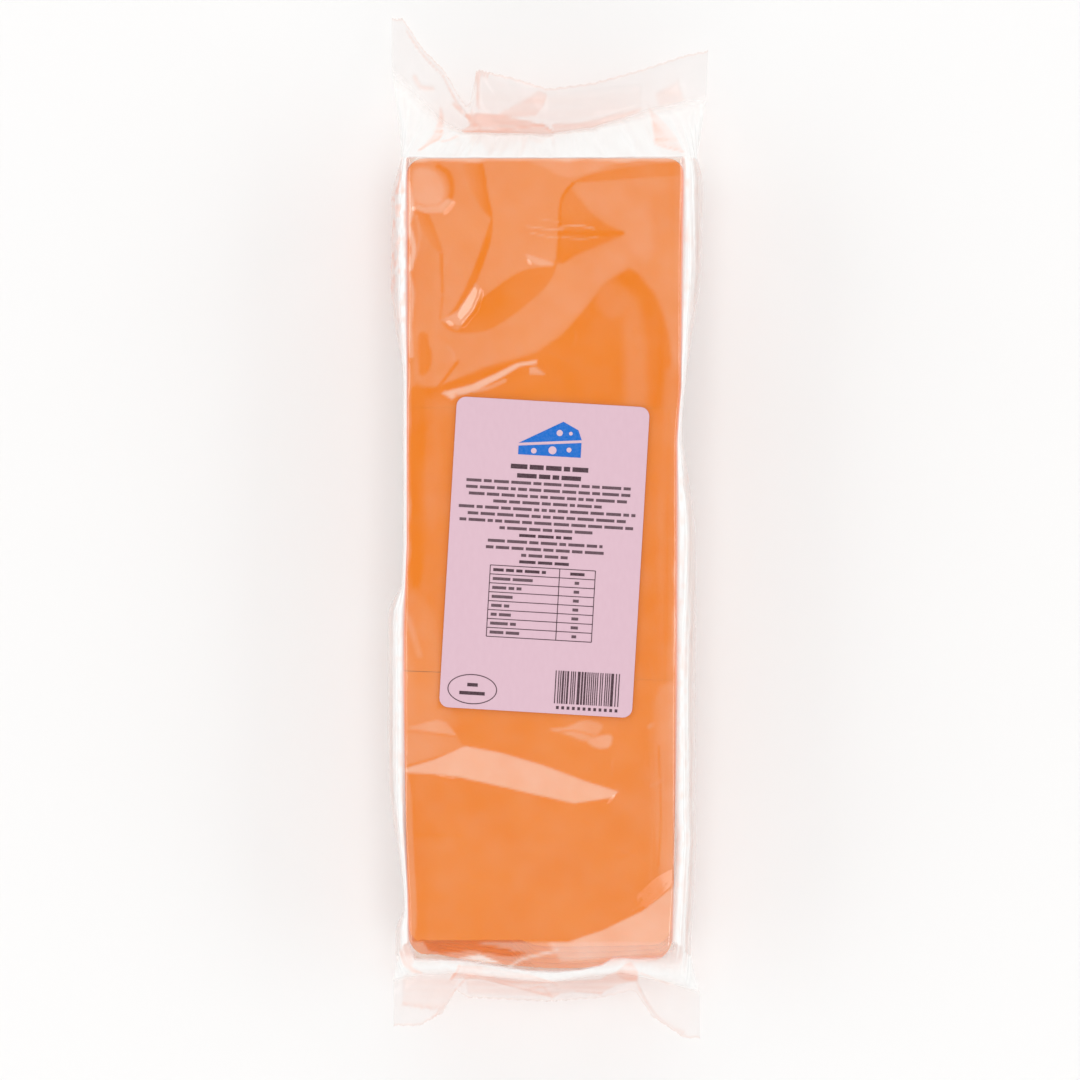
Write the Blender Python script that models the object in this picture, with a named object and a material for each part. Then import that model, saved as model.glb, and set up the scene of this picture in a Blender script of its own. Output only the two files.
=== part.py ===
"""Long clear bag of sliced cheese, lying on its back with its paper label up.

Three square stacks of thin slices stand in a row inside a sealed tube of film. The tube is slack, so it swells at
the sides, folds on the top face and ends in two flat seals whose corners stick out as ears.

+X is the width, +Y the length and +Z up. The origin is on the ground under the middle of the bag.
"""

import math

import bpy
import numpy as np

# All sizes below are in millimetres, and MM turns them into metres
MM = 0.001

# The block that the three stacks make. Its side edges are given by stations (y, x)
BLOCK_LEFT_EDGE = ((-132.4, -45.4), (-118.0, -45.8), (-95.0, -47.0), (-30.0, -47.0), (-5.0, -46.0))
BLOCK_RIGHT_EDGE = (
    (-132.4, 40.2),
    (-120.0, 41.0),
    (-100.0, 42.0),
    (-90.0, 41.6),
    (28.0, 41.9),
    (46.0, 43.2),
    (119.6, 43.8),
)
BLOCK_TOP_END = 119.6
BLOCK_LOW_END = -132.4
TOP_FACE = 41.0
SHOULDER = 0.4

# The slices slid out at the low end: the height they start from, by stations (x, z), the height over which they
# slide out step by step, and their reach
FAN_STARTS = ((-42.0, 41.0), (-36.0, 33.0), (-12.0, 35.0), (-4.0, 41.0))
FAN_DROP = 7.3
FAN_AT_SIDES = 5.0
FAN_EXTRA_AT_MIDDLE = 4.6
FAN_MIDDLE = 4.0
FAN_HALF_WIDTH = 40.0

# The film at the sides: its least gap, the height of the crease along it, how far the film's curve is pulled
# out above that crease and in below it, and how far inside the block's edges it meets the ground
SIDE_GAP = 0.7
CREASE_HEIGHT = 15.0
CREASE_WAVE = 2.0
CREASE_WAVE_LENGTH = 120.0
WALL_PULL_OUT = 1.0
WALL_PULL_HEIGHT = 40.2
UNDER_PULL_IN = 0.6
UNDER_PULL_HEIGHT = 1.5
FOOT_INSET = 2.4

# Swells of slack film at the sides: start, full from, full to, end (along Y, from the top end), and depth
LEFT_SWELLS = (
    (124.0, 106.0, 80.0, 46.0, 4.2),
    (-17.0, -27.0, -72.0, -120.0, 4.0),
    (-122.0, -130.0, -150.0, -160.0, 3.0),
)
RIGHT_SWELLS = (
    (132.0, 112.0, 92.0, 40.0, 5.4),
    (37.5, -5.0, -150.0, -165.0, 5.2),
)

# Seal at the top end. Its inner line and its cut edge are given by stations (x, y, z)
TOP_SEAL_INNER = (
    (-50.9, 151.0, 8.0),
    (-41.0, 140.0, 11.0),
    (-34.0, 132.8, 13.0),
    (-27.0, 129.2, 15.0),
    (0.0, 128.6, 17.0),
    (14.5, 130.8, 17.0),
    (32.0, 136.6, 15.0),
    (51.4, 141.5, 11.0),
)
TOP_SEAL_CUT = (
    (-50.9, 166.4, 4.5),
    (-47.3, 166.4, 5.0),
    (-41.0, 156.6, 7.0),
    (-34.0, 149.6, 9.0),
    (-27.4, 138.0, 12.0),
    (-25.4, 137.4, 13.0),
    (-23.4, 149.4, 15.0),
    (-12.0, 146.8, 14.0),
    (0.0, 143.0, 15.5),
    (14.5, 145.0, 14.0),
    (30.0, 149.3, 12.5),
    (44.5, 154.2, 10.0),
    (52.0, 155.8, 8.0),
)

# Seal at the low end
LOW_SEAL_INNER = (
    (-50.4, -147.0, 6.0),
    (-41.0, -144.6, 7.0),
    (-29.6, -144.2, 8.5),
    (0.0, -147.2, 9.0),
    (23.5, -144.0, 10.0),
    (39.6, -147.4, 8.5),
    (49.4, -151.0, 6.5),
)
LOW_SEAL_CUT = (
    (-50.4, -161.6, 3.0),
    (-42.0, -161.6, 3.5),
    (-34.5, -157.4, 5.0),
    (-30.0, -149.6, 7.0),
    (-26.5, -152.2, 6.0),
    (0.3, -153.6, 4.5),
    (17.4, -152.2, 7.0),
    (28.0, -149.6, 9.0),
    (33.8, -158.4, 6.0),
    (44.4, -165.6, 3.0),
    (49.4, -165.6, 3.0),
)
SEAL_THICKNESS = 1.0

# How far the upper film swells between the block's ends and the seals, as a share of a full quarter round
LOW_END_BULGE = 1.0
TOP_END_BULGE = 0.0

# Folds of slack film on the top face. A fold rises from its foot line to its crest line and drops behind it.
# Each has the foot's points (x, y), the crest's points, the rise at each crest point and the width of the drop
TOP_FOLDS = (
    # the broad fold from the right side down to the left
    (
        ((17.0, 92.0), (2.6, 84.2), (-11.6, 67.0), (-22.0, 62.0), (-35.0, 58.5)),
        ((30.6, 88.0), (17.1, 78.7), (4.2, 62.6), (-15.1, 53.9), (-35.4, 46.5)),
        (0.0, 1.3, 1.4, 1.0, 0.0),
        5.0,
    ),
    # the fold along the left side
    (
        ((-33.8, 118.0), (-33.0, 104.0), (-34.0, 88.0), (-34.8, 72.0)),
        ((-23.2, 116.0), (-18.0, 99.7), (-20.6, 86.8), (-33.5, 68.6)),
        (0.6, 1.1, 1.1, 0.0),
        3.0,
    ),
    # the fold across the middle of the top stack
    (
        ((-18.0, 99.0), (-19.8, 86.0), (-26.0, 72.0)),
        ((2.0, 86.2), (-10.0, 82.0), (-26.6, 66.0)),
        (0.6, 1.0, 0.0),
        4.0,
    ),
    # the fold beside the upright crease
    (
        ((4.8, 104.0), (12.0, 98.0), (24.8, 95.4)),
        ((5.8, 111.8), (17.0, 110.8), (40.0, 104.0)),
        (0.6, 1.1, 0.5),
        5.0,
    ),
    # the long wedge below the label
    (
        ((-46.0, -77.3), (-26.8, -69.8), (-2.3, -75.8), (21.4, -84.6)),
        ((-46.0, -78.2), (-29.2, -79.6), (-2.3, -86.1), (19.6, -86.8)),
        (0.0, 0.9, 0.9, 0.0),
        3.0,
    ),
    # the lifted film at the low right corner
    (
        ((-12.0, -141.0), (14.0, -136.6), (42.0, -134.6)),
        ((-6.0, -138.0), (12.0, -129.6), (40.9, -114.6)),
        (0.5, 0.9, 0.9),
        6.0,
    ),
)

# The paper label, square to the bag but for a small turn
LABEL_WIDTH = 62.2
LABEL_HEIGHT = 100.2
LABEL_CORNER = 3.0
LABEL_THICKNESS = 0.25
LABEL_GAP = 0.3
LABEL_CENTRE = (-1.3, -8.9)
LABEL_TURN = -3.35
LABEL_CORNER_STEPS = 5

# How finely the bag is divided
TOP_STEPS = 36
UNDER_STEPS = 12
UPPER_SIDE_STEPS = 5
LOWER_SIDE_STEPS = 4
BODY_RINGS = 72
END_SHARES = (0.15, 0.3, 0.5, 0.72, 1.0)
SEAL_SHARES = (0.5, 1.0)

BAG_COLOUR = (0.88, 0.27, 0.06, 1.0)
LABEL_COLOUR = (0.78, 0.55, 0.62, 1.0)


def clear_scene():
    """Removes whatever the scene holds."""
    for old in list(bpy.data.objects):
        bpy.data.objects.remove(old, do_unlink=True)


def make_material(name, colour, roughness):
    """A plain plastic or paper finish."""
    material = bpy.data.materials.new(name)
    material.use_nodes = True
    shader = material.node_tree.nodes["Principled BSDF"]
    shader.inputs["Base Color"].default_value = colour
    shader.inputs["Roughness"].default_value = roughness
    shader.inputs["Metallic"].default_value = 0.0
    return material


def smooth_step(share):
    """Eases a share from 0 to 1."""
    share = min(1.0, max(0.0, share))
    return share * share * (3.0 - 2.0 * share)


def along_stations(place, stations):
    """The value at a place, between stations (place, value)."""
    places, values = zip(*stations)
    return float(np.interp(place, places, values))


def side_slack(y, swells):
    """How far the film stands out from the block's side at y."""
    slack = SIDE_GAP
    for start, full_from, full_to, end, depth in swells:
        grown = smooth_step((start - y) / (start - full_from))
        faded = smooth_step((full_to - y) / (full_to - end))
        slack += depth * grown * (1.0 - faded)
    return slack


def bezier(start, pull, end, steps):
    """Points on a quadratic curve, without its first point."""
    points = []
    for k in range(1, steps + 1):
        t = k / steps
        points.append(
            tuple(
                (1 - t) ** 2 * a + 2 * t * (1 - t) * b + t * t * c
                for a, b, c in zip(start, pull, end)
            )
        )
    return points


def section(y):
    """The bag's outline at y as (x, z) points, from the left crease over the top, and back underneath."""
    wave = CREASE_WAVE * math.sin(2.0 * math.pi * y / CREASE_WAVE_LENGTH)
    block_left = along_stations(y, BLOCK_LEFT_EDGE)
    block_right = along_stations(y, BLOCK_RIGHT_EDGE)
    left = (block_left - side_slack(y, LEFT_SWELLS), CREASE_HEIGHT + wave)
    right = (block_right + side_slack(y, RIGHT_SWELLS), CREASE_HEIGHT - wave)
    left_edge = (block_left + SHOULDER, TOP_FACE)
    right_edge = (block_right - SHOULDER, TOP_FACE)
    left_foot = (block_left + FOOT_INSET, 0.0)
    right_foot = (block_right - FOOT_INSET, 0.0)

    points = [left]
    points += bezier(left, (left[0] - WALL_PULL_OUT, WALL_PULL_HEIGHT), left_edge, UPPER_SIDE_STEPS)
    for k in range(1, TOP_STEPS + 1):
        points.append((left_edge[0] + (right_edge[0] - left_edge[0]) * k / TOP_STEPS, TOP_FACE))
    points += bezier(right_edge, (right[0] + WALL_PULL_OUT, WALL_PULL_HEIGHT), right, UPPER_SIDE_STEPS)
    points += bezier(right, (right[0] - UNDER_PULL_IN, UNDER_PULL_HEIGHT), right_foot, LOWER_SIDE_STEPS)
    for k in range(1, UNDER_STEPS + 1):
        points.append((right_foot[0] + (left_foot[0] - right_foot[0]) * k / UNDER_STEPS, 0.0))
    points += bezier(left_foot, (left[0] + UNDER_PULL_IN, UNDER_PULL_HEIGHT), left, LOWER_SIDE_STEPS)[:-1]
    return points


def triangle_height(x, y, corners):
    """Height at (x, y) of the flat facet through three corners (x, y, z), or 0 outside it."""
    (ax, ay, az), (bx, by, bz), (cx, cy, cz) = corners
    whole = (bx - ax) * (cy - ay) - (cx - ax) * (by - ay)
    if abs(whole) < 1e-9:
        return 0.0
    share_b = ((x - ax) * (cy - ay) - (cx - ax) * (y - ay)) / whole
    share_c = ((bx - ax) * (y - ay) - (x - ax) * (by - ay)) / whole
    if share_b < 0.0 or share_c < 0.0 or share_b + share_c > 1.0:
        return 0.0
    return az + share_b * (bz - az) + share_c * (cz - az)


def fold_height(x, y, fold):
    """Height of one fold of the top face at (x, y)."""
    foot, crest, rises, drop = fold
    height = 0.0
    tails = []
    for (fx, fy), (cx, cy) in zip(foot, crest):
        reach = math.hypot(cx - fx, cy - fy)
        tails.append((cx + (cx - fx) / reach * drop, cy + (cy - fy) / reach * drop))
    for k in range(len(foot) - 1):
        low = [(*foot[k], 0.0), (*foot[k + 1], 0.0)]
        high = [(*crest[k], rises[k]), (*crest[k + 1], rises[k + 1])]
        tail = [(*tails[k], 0.0), (*tails[k + 1], 0.0)]
        for corners in (
            (low[0], low[1], high[1]),
            (low[0], high[1], high[0]),
            (high[0], high[1], tail[1]),
            (high[0], tail[1], tail[0]),
        ):
            height = max(height, triangle_height(x, y, corners))
    return height


def top_relief(x, y):
    """Height of the film above the flat top face at (x, y)."""
    return max(fold_height(x, y, fold) for fold in TOP_FOLDS)


def body_ring(y):
    """One ring of points round the bag at y, with the folds raised on its top face."""
    ring = []
    for index, (x, z) in enumerate(section(y)):
        on_top = UPPER_SIDE_STEPS <= index <= UPPER_SIDE_STEPS + TOP_STEPS
        lift = top_relief(x, y) if on_top else 0.0
        ring.append((x, y, z + lift))
    return ring


def fan_reach(x, z):
    """How far the slid-out slices push the low end out at (x, z)."""
    share = min(1.0, abs(x - FAN_MIDDLE) / FAN_HALF_WIDTH)
    depth = FAN_AT_SIDES + FAN_EXTRA_AT_MIDDLE * (1.0 - share * share)
    return depth * min(1.0, max(0.0, (along_stations(x, FAN_STARTS) - z) / FAN_DROP))


def low_end_ring():
    """The ring round the block's low end, pushed out below by the slid-out slices."""
    return [(x, y - fan_reach(x, z), z) for x, y, z in body_ring(BLOCK_LOW_END)]


def line_share(index):
    """Where a ring point lies along the seal, from 0 at the left to 1 at the right, and which film it is on."""
    upper = 2 * UPPER_SIDE_STEPS + TOP_STEPS
    lower = 2 * LOWER_SIDE_STEPS + UNDER_STEPS
    if index <= upper:
        return index / upper, 0.0 if index in (0, upper) else 1.0
    return 1.0 - (index - upper) / lower, -1.0


def seal_ring(stations):
    """The whole ring of points pressed flat on a line of stations (x, y, z)."""
    xs, ys, zs = (np.array(column) for column in zip(*stations))
    upper = 2 * UPPER_SIDE_STEPS + TOP_STEPS
    count = upper + 2 * LOWER_SIDE_STEPS + UNDER_STEPS
    ring = []
    for index in range(count):
        share, side = line_share(index)
        x = xs[0] + (xs[-1] - xs[0]) * share
        y = float(np.interp(x, xs, ys))
        z = float(np.interp(x, xs, zs)) + side * SEAL_THICKNESS / 2.0
        ring.append((float(x), y, z))
    return ring


def blend_rings(first, last, share):
    """A ring part of the way between two rings."""
    return [
        tuple(a + (b - a) * share for a, b in zip(p, q))
        for p, q in zip(first, last)
    ]


def bulged(ring, start, inner, share, bulge):
    """A ring on its way from the block's end to the seal, with its upper film drawn up and out into a pillow."""
    out = []
    for (x, y, z), (_, start_y, start_z), (_, inner_y, inner_z) in zip(ring, start, inner):
        swell = bulge * share * (1.0 - share) * smooth_step(start_z / TOP_FACE)
        lift = max(0.0, start_z - inner_z) * swell
        out.append((x, y + (inner_y - start_y) * swell, z + lift))
    return out


def end_rings(start, inner, cut, bulge):
    """The rings from the block's end down to the seal's cut edge."""
    rings = []
    for share in END_SHARES:
        rings.append(bulged(blend_rings(start, inner, share), start, inner, share, bulge))
    rings += [blend_rings(inner, cut, share) for share in SEAL_SHARES]
    return rings


def bag_rings():
    """All rings of the bag, from the low end's cut edge to the top end's."""
    low_start = low_end_ring()
    top_start = body_ring(BLOCK_TOP_END)
    low = end_rings(low_start, seal_ring(LOW_SEAL_INNER), seal_ring(LOW_SEAL_CUT), LOW_END_BULGE)
    top = end_rings(top_start, seal_ring(TOP_SEAL_INNER), seal_ring(TOP_SEAL_CUT), TOP_END_BULGE)
    step = (BLOCK_TOP_END - BLOCK_LOW_END) / BODY_RINGS
    body = [body_ring(BLOCK_LOW_END + step * k) for k in range(1, BODY_RINGS)]
    return low[::-1] + [low_start] + body + [top_start] + top


def cap_faces(first_index, upward):
    """Triangles that close a flattened ring, zipping its upper film to its lower one."""
    upper = 2 * UPPER_SIDE_STEPS + TOP_STEPS
    lower = 2 * LOWER_SIDE_STEPS + UNDER_STEPS
    top_line = [first_index + k for k in range(upper + 1)]
    low_line = [first_index + (upper + lower - k) % (upper + lower) for k in range(lower + 1)]
    faces = []
    i = 0
    j = 0
    while i < upper or j < lower:
        step_top = j == lower or (i < upper and (i + 1) / upper <= (j + 1) / lower)
        if step_top:
            face = (top_line[i], top_line[i + 1], low_line[j])
            i += 1
        else:
            face = (top_line[i], low_line[j + 1], low_line[j])
            j += 1
        if len(set(face)) == 3:
            faces.append(face if upward else face[::-1])
    return faces


def bag_mesh():
    """The bag as one closed loft through its rings."""
    rings = bag_rings()
    count = len(rings[0])
    points = [point for ring in rings for point in ring]
    faces = []
    for r in range(len(rings) - 1):
        for k in range(count):
            nxt = (k + 1) % count
            faces.append(
                (r * count + k, r * count + nxt, (r + 1) * count + nxt, (r + 1) * count + k)
            )
    faces += cap_faces(0, False)
    faces += cap_faces((len(rings) - 1) * count, True)
    return points, faces


def label_mesh():
    """The label as a thin plate with round corners, in its own middle."""
    half_width = LABEL_WIDTH / 2.0 - LABEL_CORNER
    half_height = LABEL_HEIGHT / 2.0 - LABEL_CORNER
    outline = []
    for quarter, (sx, sy) in enumerate(((1, 1), (-1, 1), (-1, -1), (1, -1))):
        for k in range(LABEL_CORNER_STEPS + 1):
            angle = math.radians(90.0 * (quarter + k / LABEL_CORNER_STEPS))
            outline.append(
                (
                    sx * half_width + LABEL_CORNER * math.cos(angle),
                    sy * half_height + LABEL_CORNER * math.sin(angle),
                )
            )
    count = len(outline)
    points = [(x, y, 0.0) for x, y in outline]
    points += [(x, y, LABEL_THICKNESS) for x, y in outline]
    faces = [tuple(range(count - 1, -1, -1)), tuple(range(count, 2 * count))]
    for k in range(count):
        nxt = (k + 1) % count
        faces.append((k, nxt, count + nxt, count + k))
    return points, faces


def make_object(name, points, faces, material, collection):
    """A mesh object from points in millimetres."""
    mesh = bpy.data.meshes.new(name)
    mesh.from_pydata([tuple(value * MM for value in point) for point in points], [], faces)
    mesh.materials.append(material)
    mesh.validate()
    mesh.shade_smooth()
    mesh.set_sharp_from_angle(angle=math.radians(40.0))
    made = bpy.data.objects.new(name, mesh)
    collection.objects.link(made)
    return made


def plan_middle(points):
    """The middle of the points' box in plan."""
    xs = [point[0] for point in points]
    ys = [point[1] for point in points]
    return (min(xs) + max(xs)) / 2.0, (min(ys) + max(ys)) / 2.0


def main():
    """Builds the bag and its label round the point under the bag's middle."""
    clear_scene()
    collection = bpy.data.collections.new("cheese_slices_pack")
    bpy.context.scene.collection.children.link(collection)

    points, faces = bag_mesh()
    middle_x, middle_y = plan_middle(points)
    centred = [(x - middle_x, y - middle_y, z) for x, y, z in points]
    film = make_material("film_over_cheese", BAG_COLOUR, 0.25)
    make_object("bag", centred, faces, film, collection)

    points, faces = label_mesh()
    paper = make_material("label_paper", LABEL_COLOUR, 0.6)
    label = make_object("label", points, faces, paper, collection)
    label.location = (
        (LABEL_CENTRE[0] - middle_x) * MM,
        (LABEL_CENTRE[1] - middle_y) * MM,
        (TOP_FACE + LABEL_GAP) * MM,
    )
    label.rotation_euler = (0.0, 0.0, math.radians(LABEL_TURN))


main()
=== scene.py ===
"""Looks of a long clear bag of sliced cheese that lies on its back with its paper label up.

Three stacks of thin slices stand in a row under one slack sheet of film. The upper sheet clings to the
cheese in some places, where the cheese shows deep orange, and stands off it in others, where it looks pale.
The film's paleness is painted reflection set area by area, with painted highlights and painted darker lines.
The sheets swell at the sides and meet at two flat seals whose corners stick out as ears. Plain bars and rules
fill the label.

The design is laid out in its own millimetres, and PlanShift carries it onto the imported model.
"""

import logging
import math
from dataclasses import dataclass, field
from enum import Enum

import bpy
import numpy as np
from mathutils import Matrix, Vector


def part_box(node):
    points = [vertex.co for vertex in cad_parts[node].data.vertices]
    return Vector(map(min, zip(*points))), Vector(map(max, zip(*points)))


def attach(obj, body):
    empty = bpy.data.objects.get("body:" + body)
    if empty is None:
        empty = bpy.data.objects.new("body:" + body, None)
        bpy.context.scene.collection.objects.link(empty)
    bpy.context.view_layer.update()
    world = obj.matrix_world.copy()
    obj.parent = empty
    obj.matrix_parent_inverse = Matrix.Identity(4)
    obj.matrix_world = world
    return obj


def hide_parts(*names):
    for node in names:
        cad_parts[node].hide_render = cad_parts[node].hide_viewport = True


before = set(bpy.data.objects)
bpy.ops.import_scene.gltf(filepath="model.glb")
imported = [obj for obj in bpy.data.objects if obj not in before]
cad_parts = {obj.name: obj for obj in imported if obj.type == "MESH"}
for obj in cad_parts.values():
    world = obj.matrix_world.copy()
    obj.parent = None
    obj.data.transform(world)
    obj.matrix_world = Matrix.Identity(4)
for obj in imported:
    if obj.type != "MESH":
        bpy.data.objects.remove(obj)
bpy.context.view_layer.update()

MM = 0.001
BODY = "root"
Array = np.ndarray
Piece = bpy.types.Object
Material = bpy.types.Material
Socket = bpy.types.NodeSocket
Numbers = tuple[float, ...]
Pair = tuple[float, float]
Triple = tuple[float, float, float]
Colour = Triple
Line = tuple[Pair, ...]
Stations = tuple[Triple, ...]
Looks = tuple[Array, Array, Array]
# the film's attributes: a gap level that is partly painted reflection, milk, and folds that carry a painted
# salmon reflection of the cheese
FILM_LOOKS = ("gap_and_painted_reflection", "milk", "folds_and_painted_cheese_reflection")

log = logging.getLogger("cheese_pack")


class Slot(str, Enum):
    """The finishes that the pack's pieces take."""

    CHEESE = "sliced_cheese"
    FILM = "clear_film"
    PAPER = "paper_label"
    INK = "label_ink"
    BLUE = "label_blue"


class Sheet(Enum):
    """The two sheets of film, by the side of the bag they are on."""

    UPPER = 1.0
    UNDER = -1.0


class End(Enum):
    """The two ends of the bag, by their direction along the length."""

    TOP = 1.0
    LOW = -1.0


# Small tools for curves, outlines and meshes


def smooth_step(share: Array) -> Array:
    """Eases shares from 0 to 1."""
    share = np.clip(share, 0.0, 1.0)
    return share * share * (3.0 - 2.0 * share)


def rounded(outline: Line, steps: int = 4, closed: bool = True) -> Array:
    """Draws a smooth curve through given points.

    Args:
        outline: the points (x, y).
        steps: how many pieces each stretch is cut into.
        closed: whether the curve runs back to its first point.

    Returns:
        The curve's points, as rows.
    """
    knots = np.array(outline, float)
    count = len(knots)
    stretches = count if closed else count - 1
    points = []
    for k in range(stretches):
        if closed:
            a, b, c, d = (knots[(k + j) % count] for j in (-1, 0, 1, 2))
        else:
            a, b, c, d = (knots[min(max(k + j, 0), count - 1)] for j in (-1, 0, 1, 2))
        for t in np.linspace(0.0, 1.0, steps, endpoint=False):
            square, cube = 2 * a - 5 * b + 4 * c - d, 3 * b - a - 3 * c + d
            points.append(0.5 * (2 * b + (c - a) * t + square * t**2 + cube * t**3))
    if not closed:
        points.append(knots[-1])
    return np.array(points)


def line_distance(x: Array, y: Array, line: Array, closed: bool) -> Array:
    """Measures how far points lie from a line.

    Args:
        x: the points' x.
        y: the points' y.
        line: the line's own points, as rows.
        closed: whether the line runs back to its first point.

    Returns:
        The distances, in the shape of x.
    """
    ends = np.roll(line, -1, axis=0) if closed else line[1:]
    starts = line if closed else line[:-1]
    best = np.full(x.shape, 1e9)
    for (ax, ay), (bx, by) in zip(starts, ends):
        dx, dy = bx - ax, by - ay
        length = max(dx * dx + dy * dy, 1e-12)
        t = np.clip(((x - ax) * dx + (y - ay) * dy) / length, 0.0, 1.0)
        best = np.minimum(best, np.hypot(x - ax - t * dx, y - ay - t * dy))
    return best


def inside_depth(x: Array, y: Array, outline: Array) -> Array:
    """Measures how deep points lie inside an outline, as minus the distance for points outside it.

    Args:
        x: the points' x.
        y: the points' y.
        outline: the outline's points, as rows.

    Returns:
        The depths, in the shape of x.
    """
    inside = np.zeros(x.shape, bool)
    for (ax, ay), (bx, by) in zip(outline, np.roll(outline, -1, axis=0)):
        if ay == by:
            continue
        crosses = (ay > y) != (by > y)
        inside ^= crosses & (x < (bx - ax) * (y - ay) / (by - ay) + ax)
    depth = line_distance(x, y, outline, closed=True)
    return np.where(inside, depth, -depth)


def facet_height(x: Array, y: Array, corners: Stations) -> Array:
    """Finds the height of a flat facet over points.

    Args:
        x: the points' x.
        y: the points' y.
        corners: the facet's three corners (x, y, height).

    Returns:
        The heights, 0 outside the facet.
    """
    (ax, ay, az), (bx, by, bz), (cx, cy, cz) = corners
    whole = (bx - ax) * (cy - ay) - (cx - ax) * (by - ay)
    if abs(whole) < 1e-9:
        return np.zeros(x.shape)
    share_b = ((x - ax) * (cy - ay) - (cx - ax) * (y - ay)) / whole
    share_c = ((bx - ax) * (y - ay) - (x - ax) * (by - ay)) / whole
    within = (share_b >= 0.0) & (share_c >= 0.0) & (share_b + share_c <= 1.0)
    return np.where(within, az + share_b * (bz - az) + share_c * (cz - az), 0.0)


def soften(values: Array, radius: float, axis: int) -> Array:
    """Blurs an array along one axis, keeping its ends.

    Args:
        values: the array.
        radius: the blur's standard deviation in cells.
        axis: the axis to blur along.

    Returns:
        The blurred array.
    """
    reach = int(math.ceil(3.0 * radius))
    weights = np.exp(-0.5 * (np.arange(-reach, reach + 1) / radius) ** 2)
    weights /= weights.sum()
    pad = [(0, 0)] * values.ndim
    pad[axis] = (reach, reach)
    padded = np.pad(values, pad, mode="edge")
    count = values.shape[axis]
    return sum(w * np.take(padded, range(k, k + count), axis=axis) for k, w in enumerate(weights))


def cell_noise(x: Array, y: Array, width: float, length: float, seed: int) -> Array:
    """Soft random lumps over the plan.

    Args:
        x: the points' x.
        y: the points' y.
        width: the lumps' size along X.
        length: the lumps' size along Y.
        seed: which lumps they are.

    Returns:
        Values from -1 to 1, in the shape of x.
    """
    cells = 128
    values = np.random.default_rng(seed).uniform(-1.0, 1.0, (cells, cells))
    u, v = x / width + cells / 2.0, y / length + cells / 2.0
    i, j = np.floor(u).astype(int), np.floor(v).astype(int)
    a, b = smooth_step(u - i), smooth_step(v - j)
    low = values[i % cells, j % cells] * (1 - a) + values[(i + 1) % cells, j % cells] * a
    high = values[i % cells, (j + 1) % cells] * (1 - a) + values[(i + 1) % cells, (j + 1) % cells] * a
    return low * (1 - b) + high * b


def mesh_object(name: str, points: Array, faces: list, smooth: bool) -> Piece:
    """Makes a mesh object from points in metres.

    Args:
        name: the object's name.
        points: the points, as rows.
        faces: the faces, each a row of point numbers.
        smooth: whether the faces are shaded smooth.

    Returns:
        The object, linked to the scene.
    """
    mesh = bpy.data.meshes.new(name)
    mesh.from_pydata(np.asarray(points).tolist(), [], [list(face) for face in faces])
    mesh.validate()
    mesh.update()
    if smooth:
        mesh.shade_smooth()
    made = bpy.data.objects.new(name, mesh)
    bpy.context.scene.collection.objects.link(made)
    return made


def grid_faces(rows: int, columns: int, flip: bool) -> list:
    """Lists the four-sided faces of a grid of points.

    Args:
        rows: the rows of points.
        columns: the points in a row.
        flip: whether the faces look the other way.

    Returns:
        One row of four point numbers a face.
    """
    first = (np.arange(rows - 1)[:, None] * columns + np.arange(columns - 1)[None, :]).ravel()
    faces = np.stack([first, first + 1, first + columns + 1, first + columns], axis=1)
    return (faces[:, ::-1] if flip else faces).tolist()


def report(piece: Piece) -> None:
    """Logs a finished piece."""
    log.info("%s: %d faces", piece.name, len(piece.data.polygons))


@dataclass(frozen=True)
class PlanShift:
    """Carries the design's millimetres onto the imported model, by the label's middle."""

    label_x: float = -1.3
    label_y: float = -8.9

    def place(self, points: Array) -> Array:
        """Turns design points in millimetres into places in the frame.

        Args:
            points: the design's points (x, y, z), as rows.

        Returns:
            The same points in metres, in the frame.
        """
        low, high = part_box("label")
        x, y = (low.x + high.x) / 2.0, (low.y + high.y) / 2.0
        return np.asarray(points, float) * MM + (x - self.label_x * MM, y - self.label_y * MM, 0.0)


# Finishes


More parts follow.
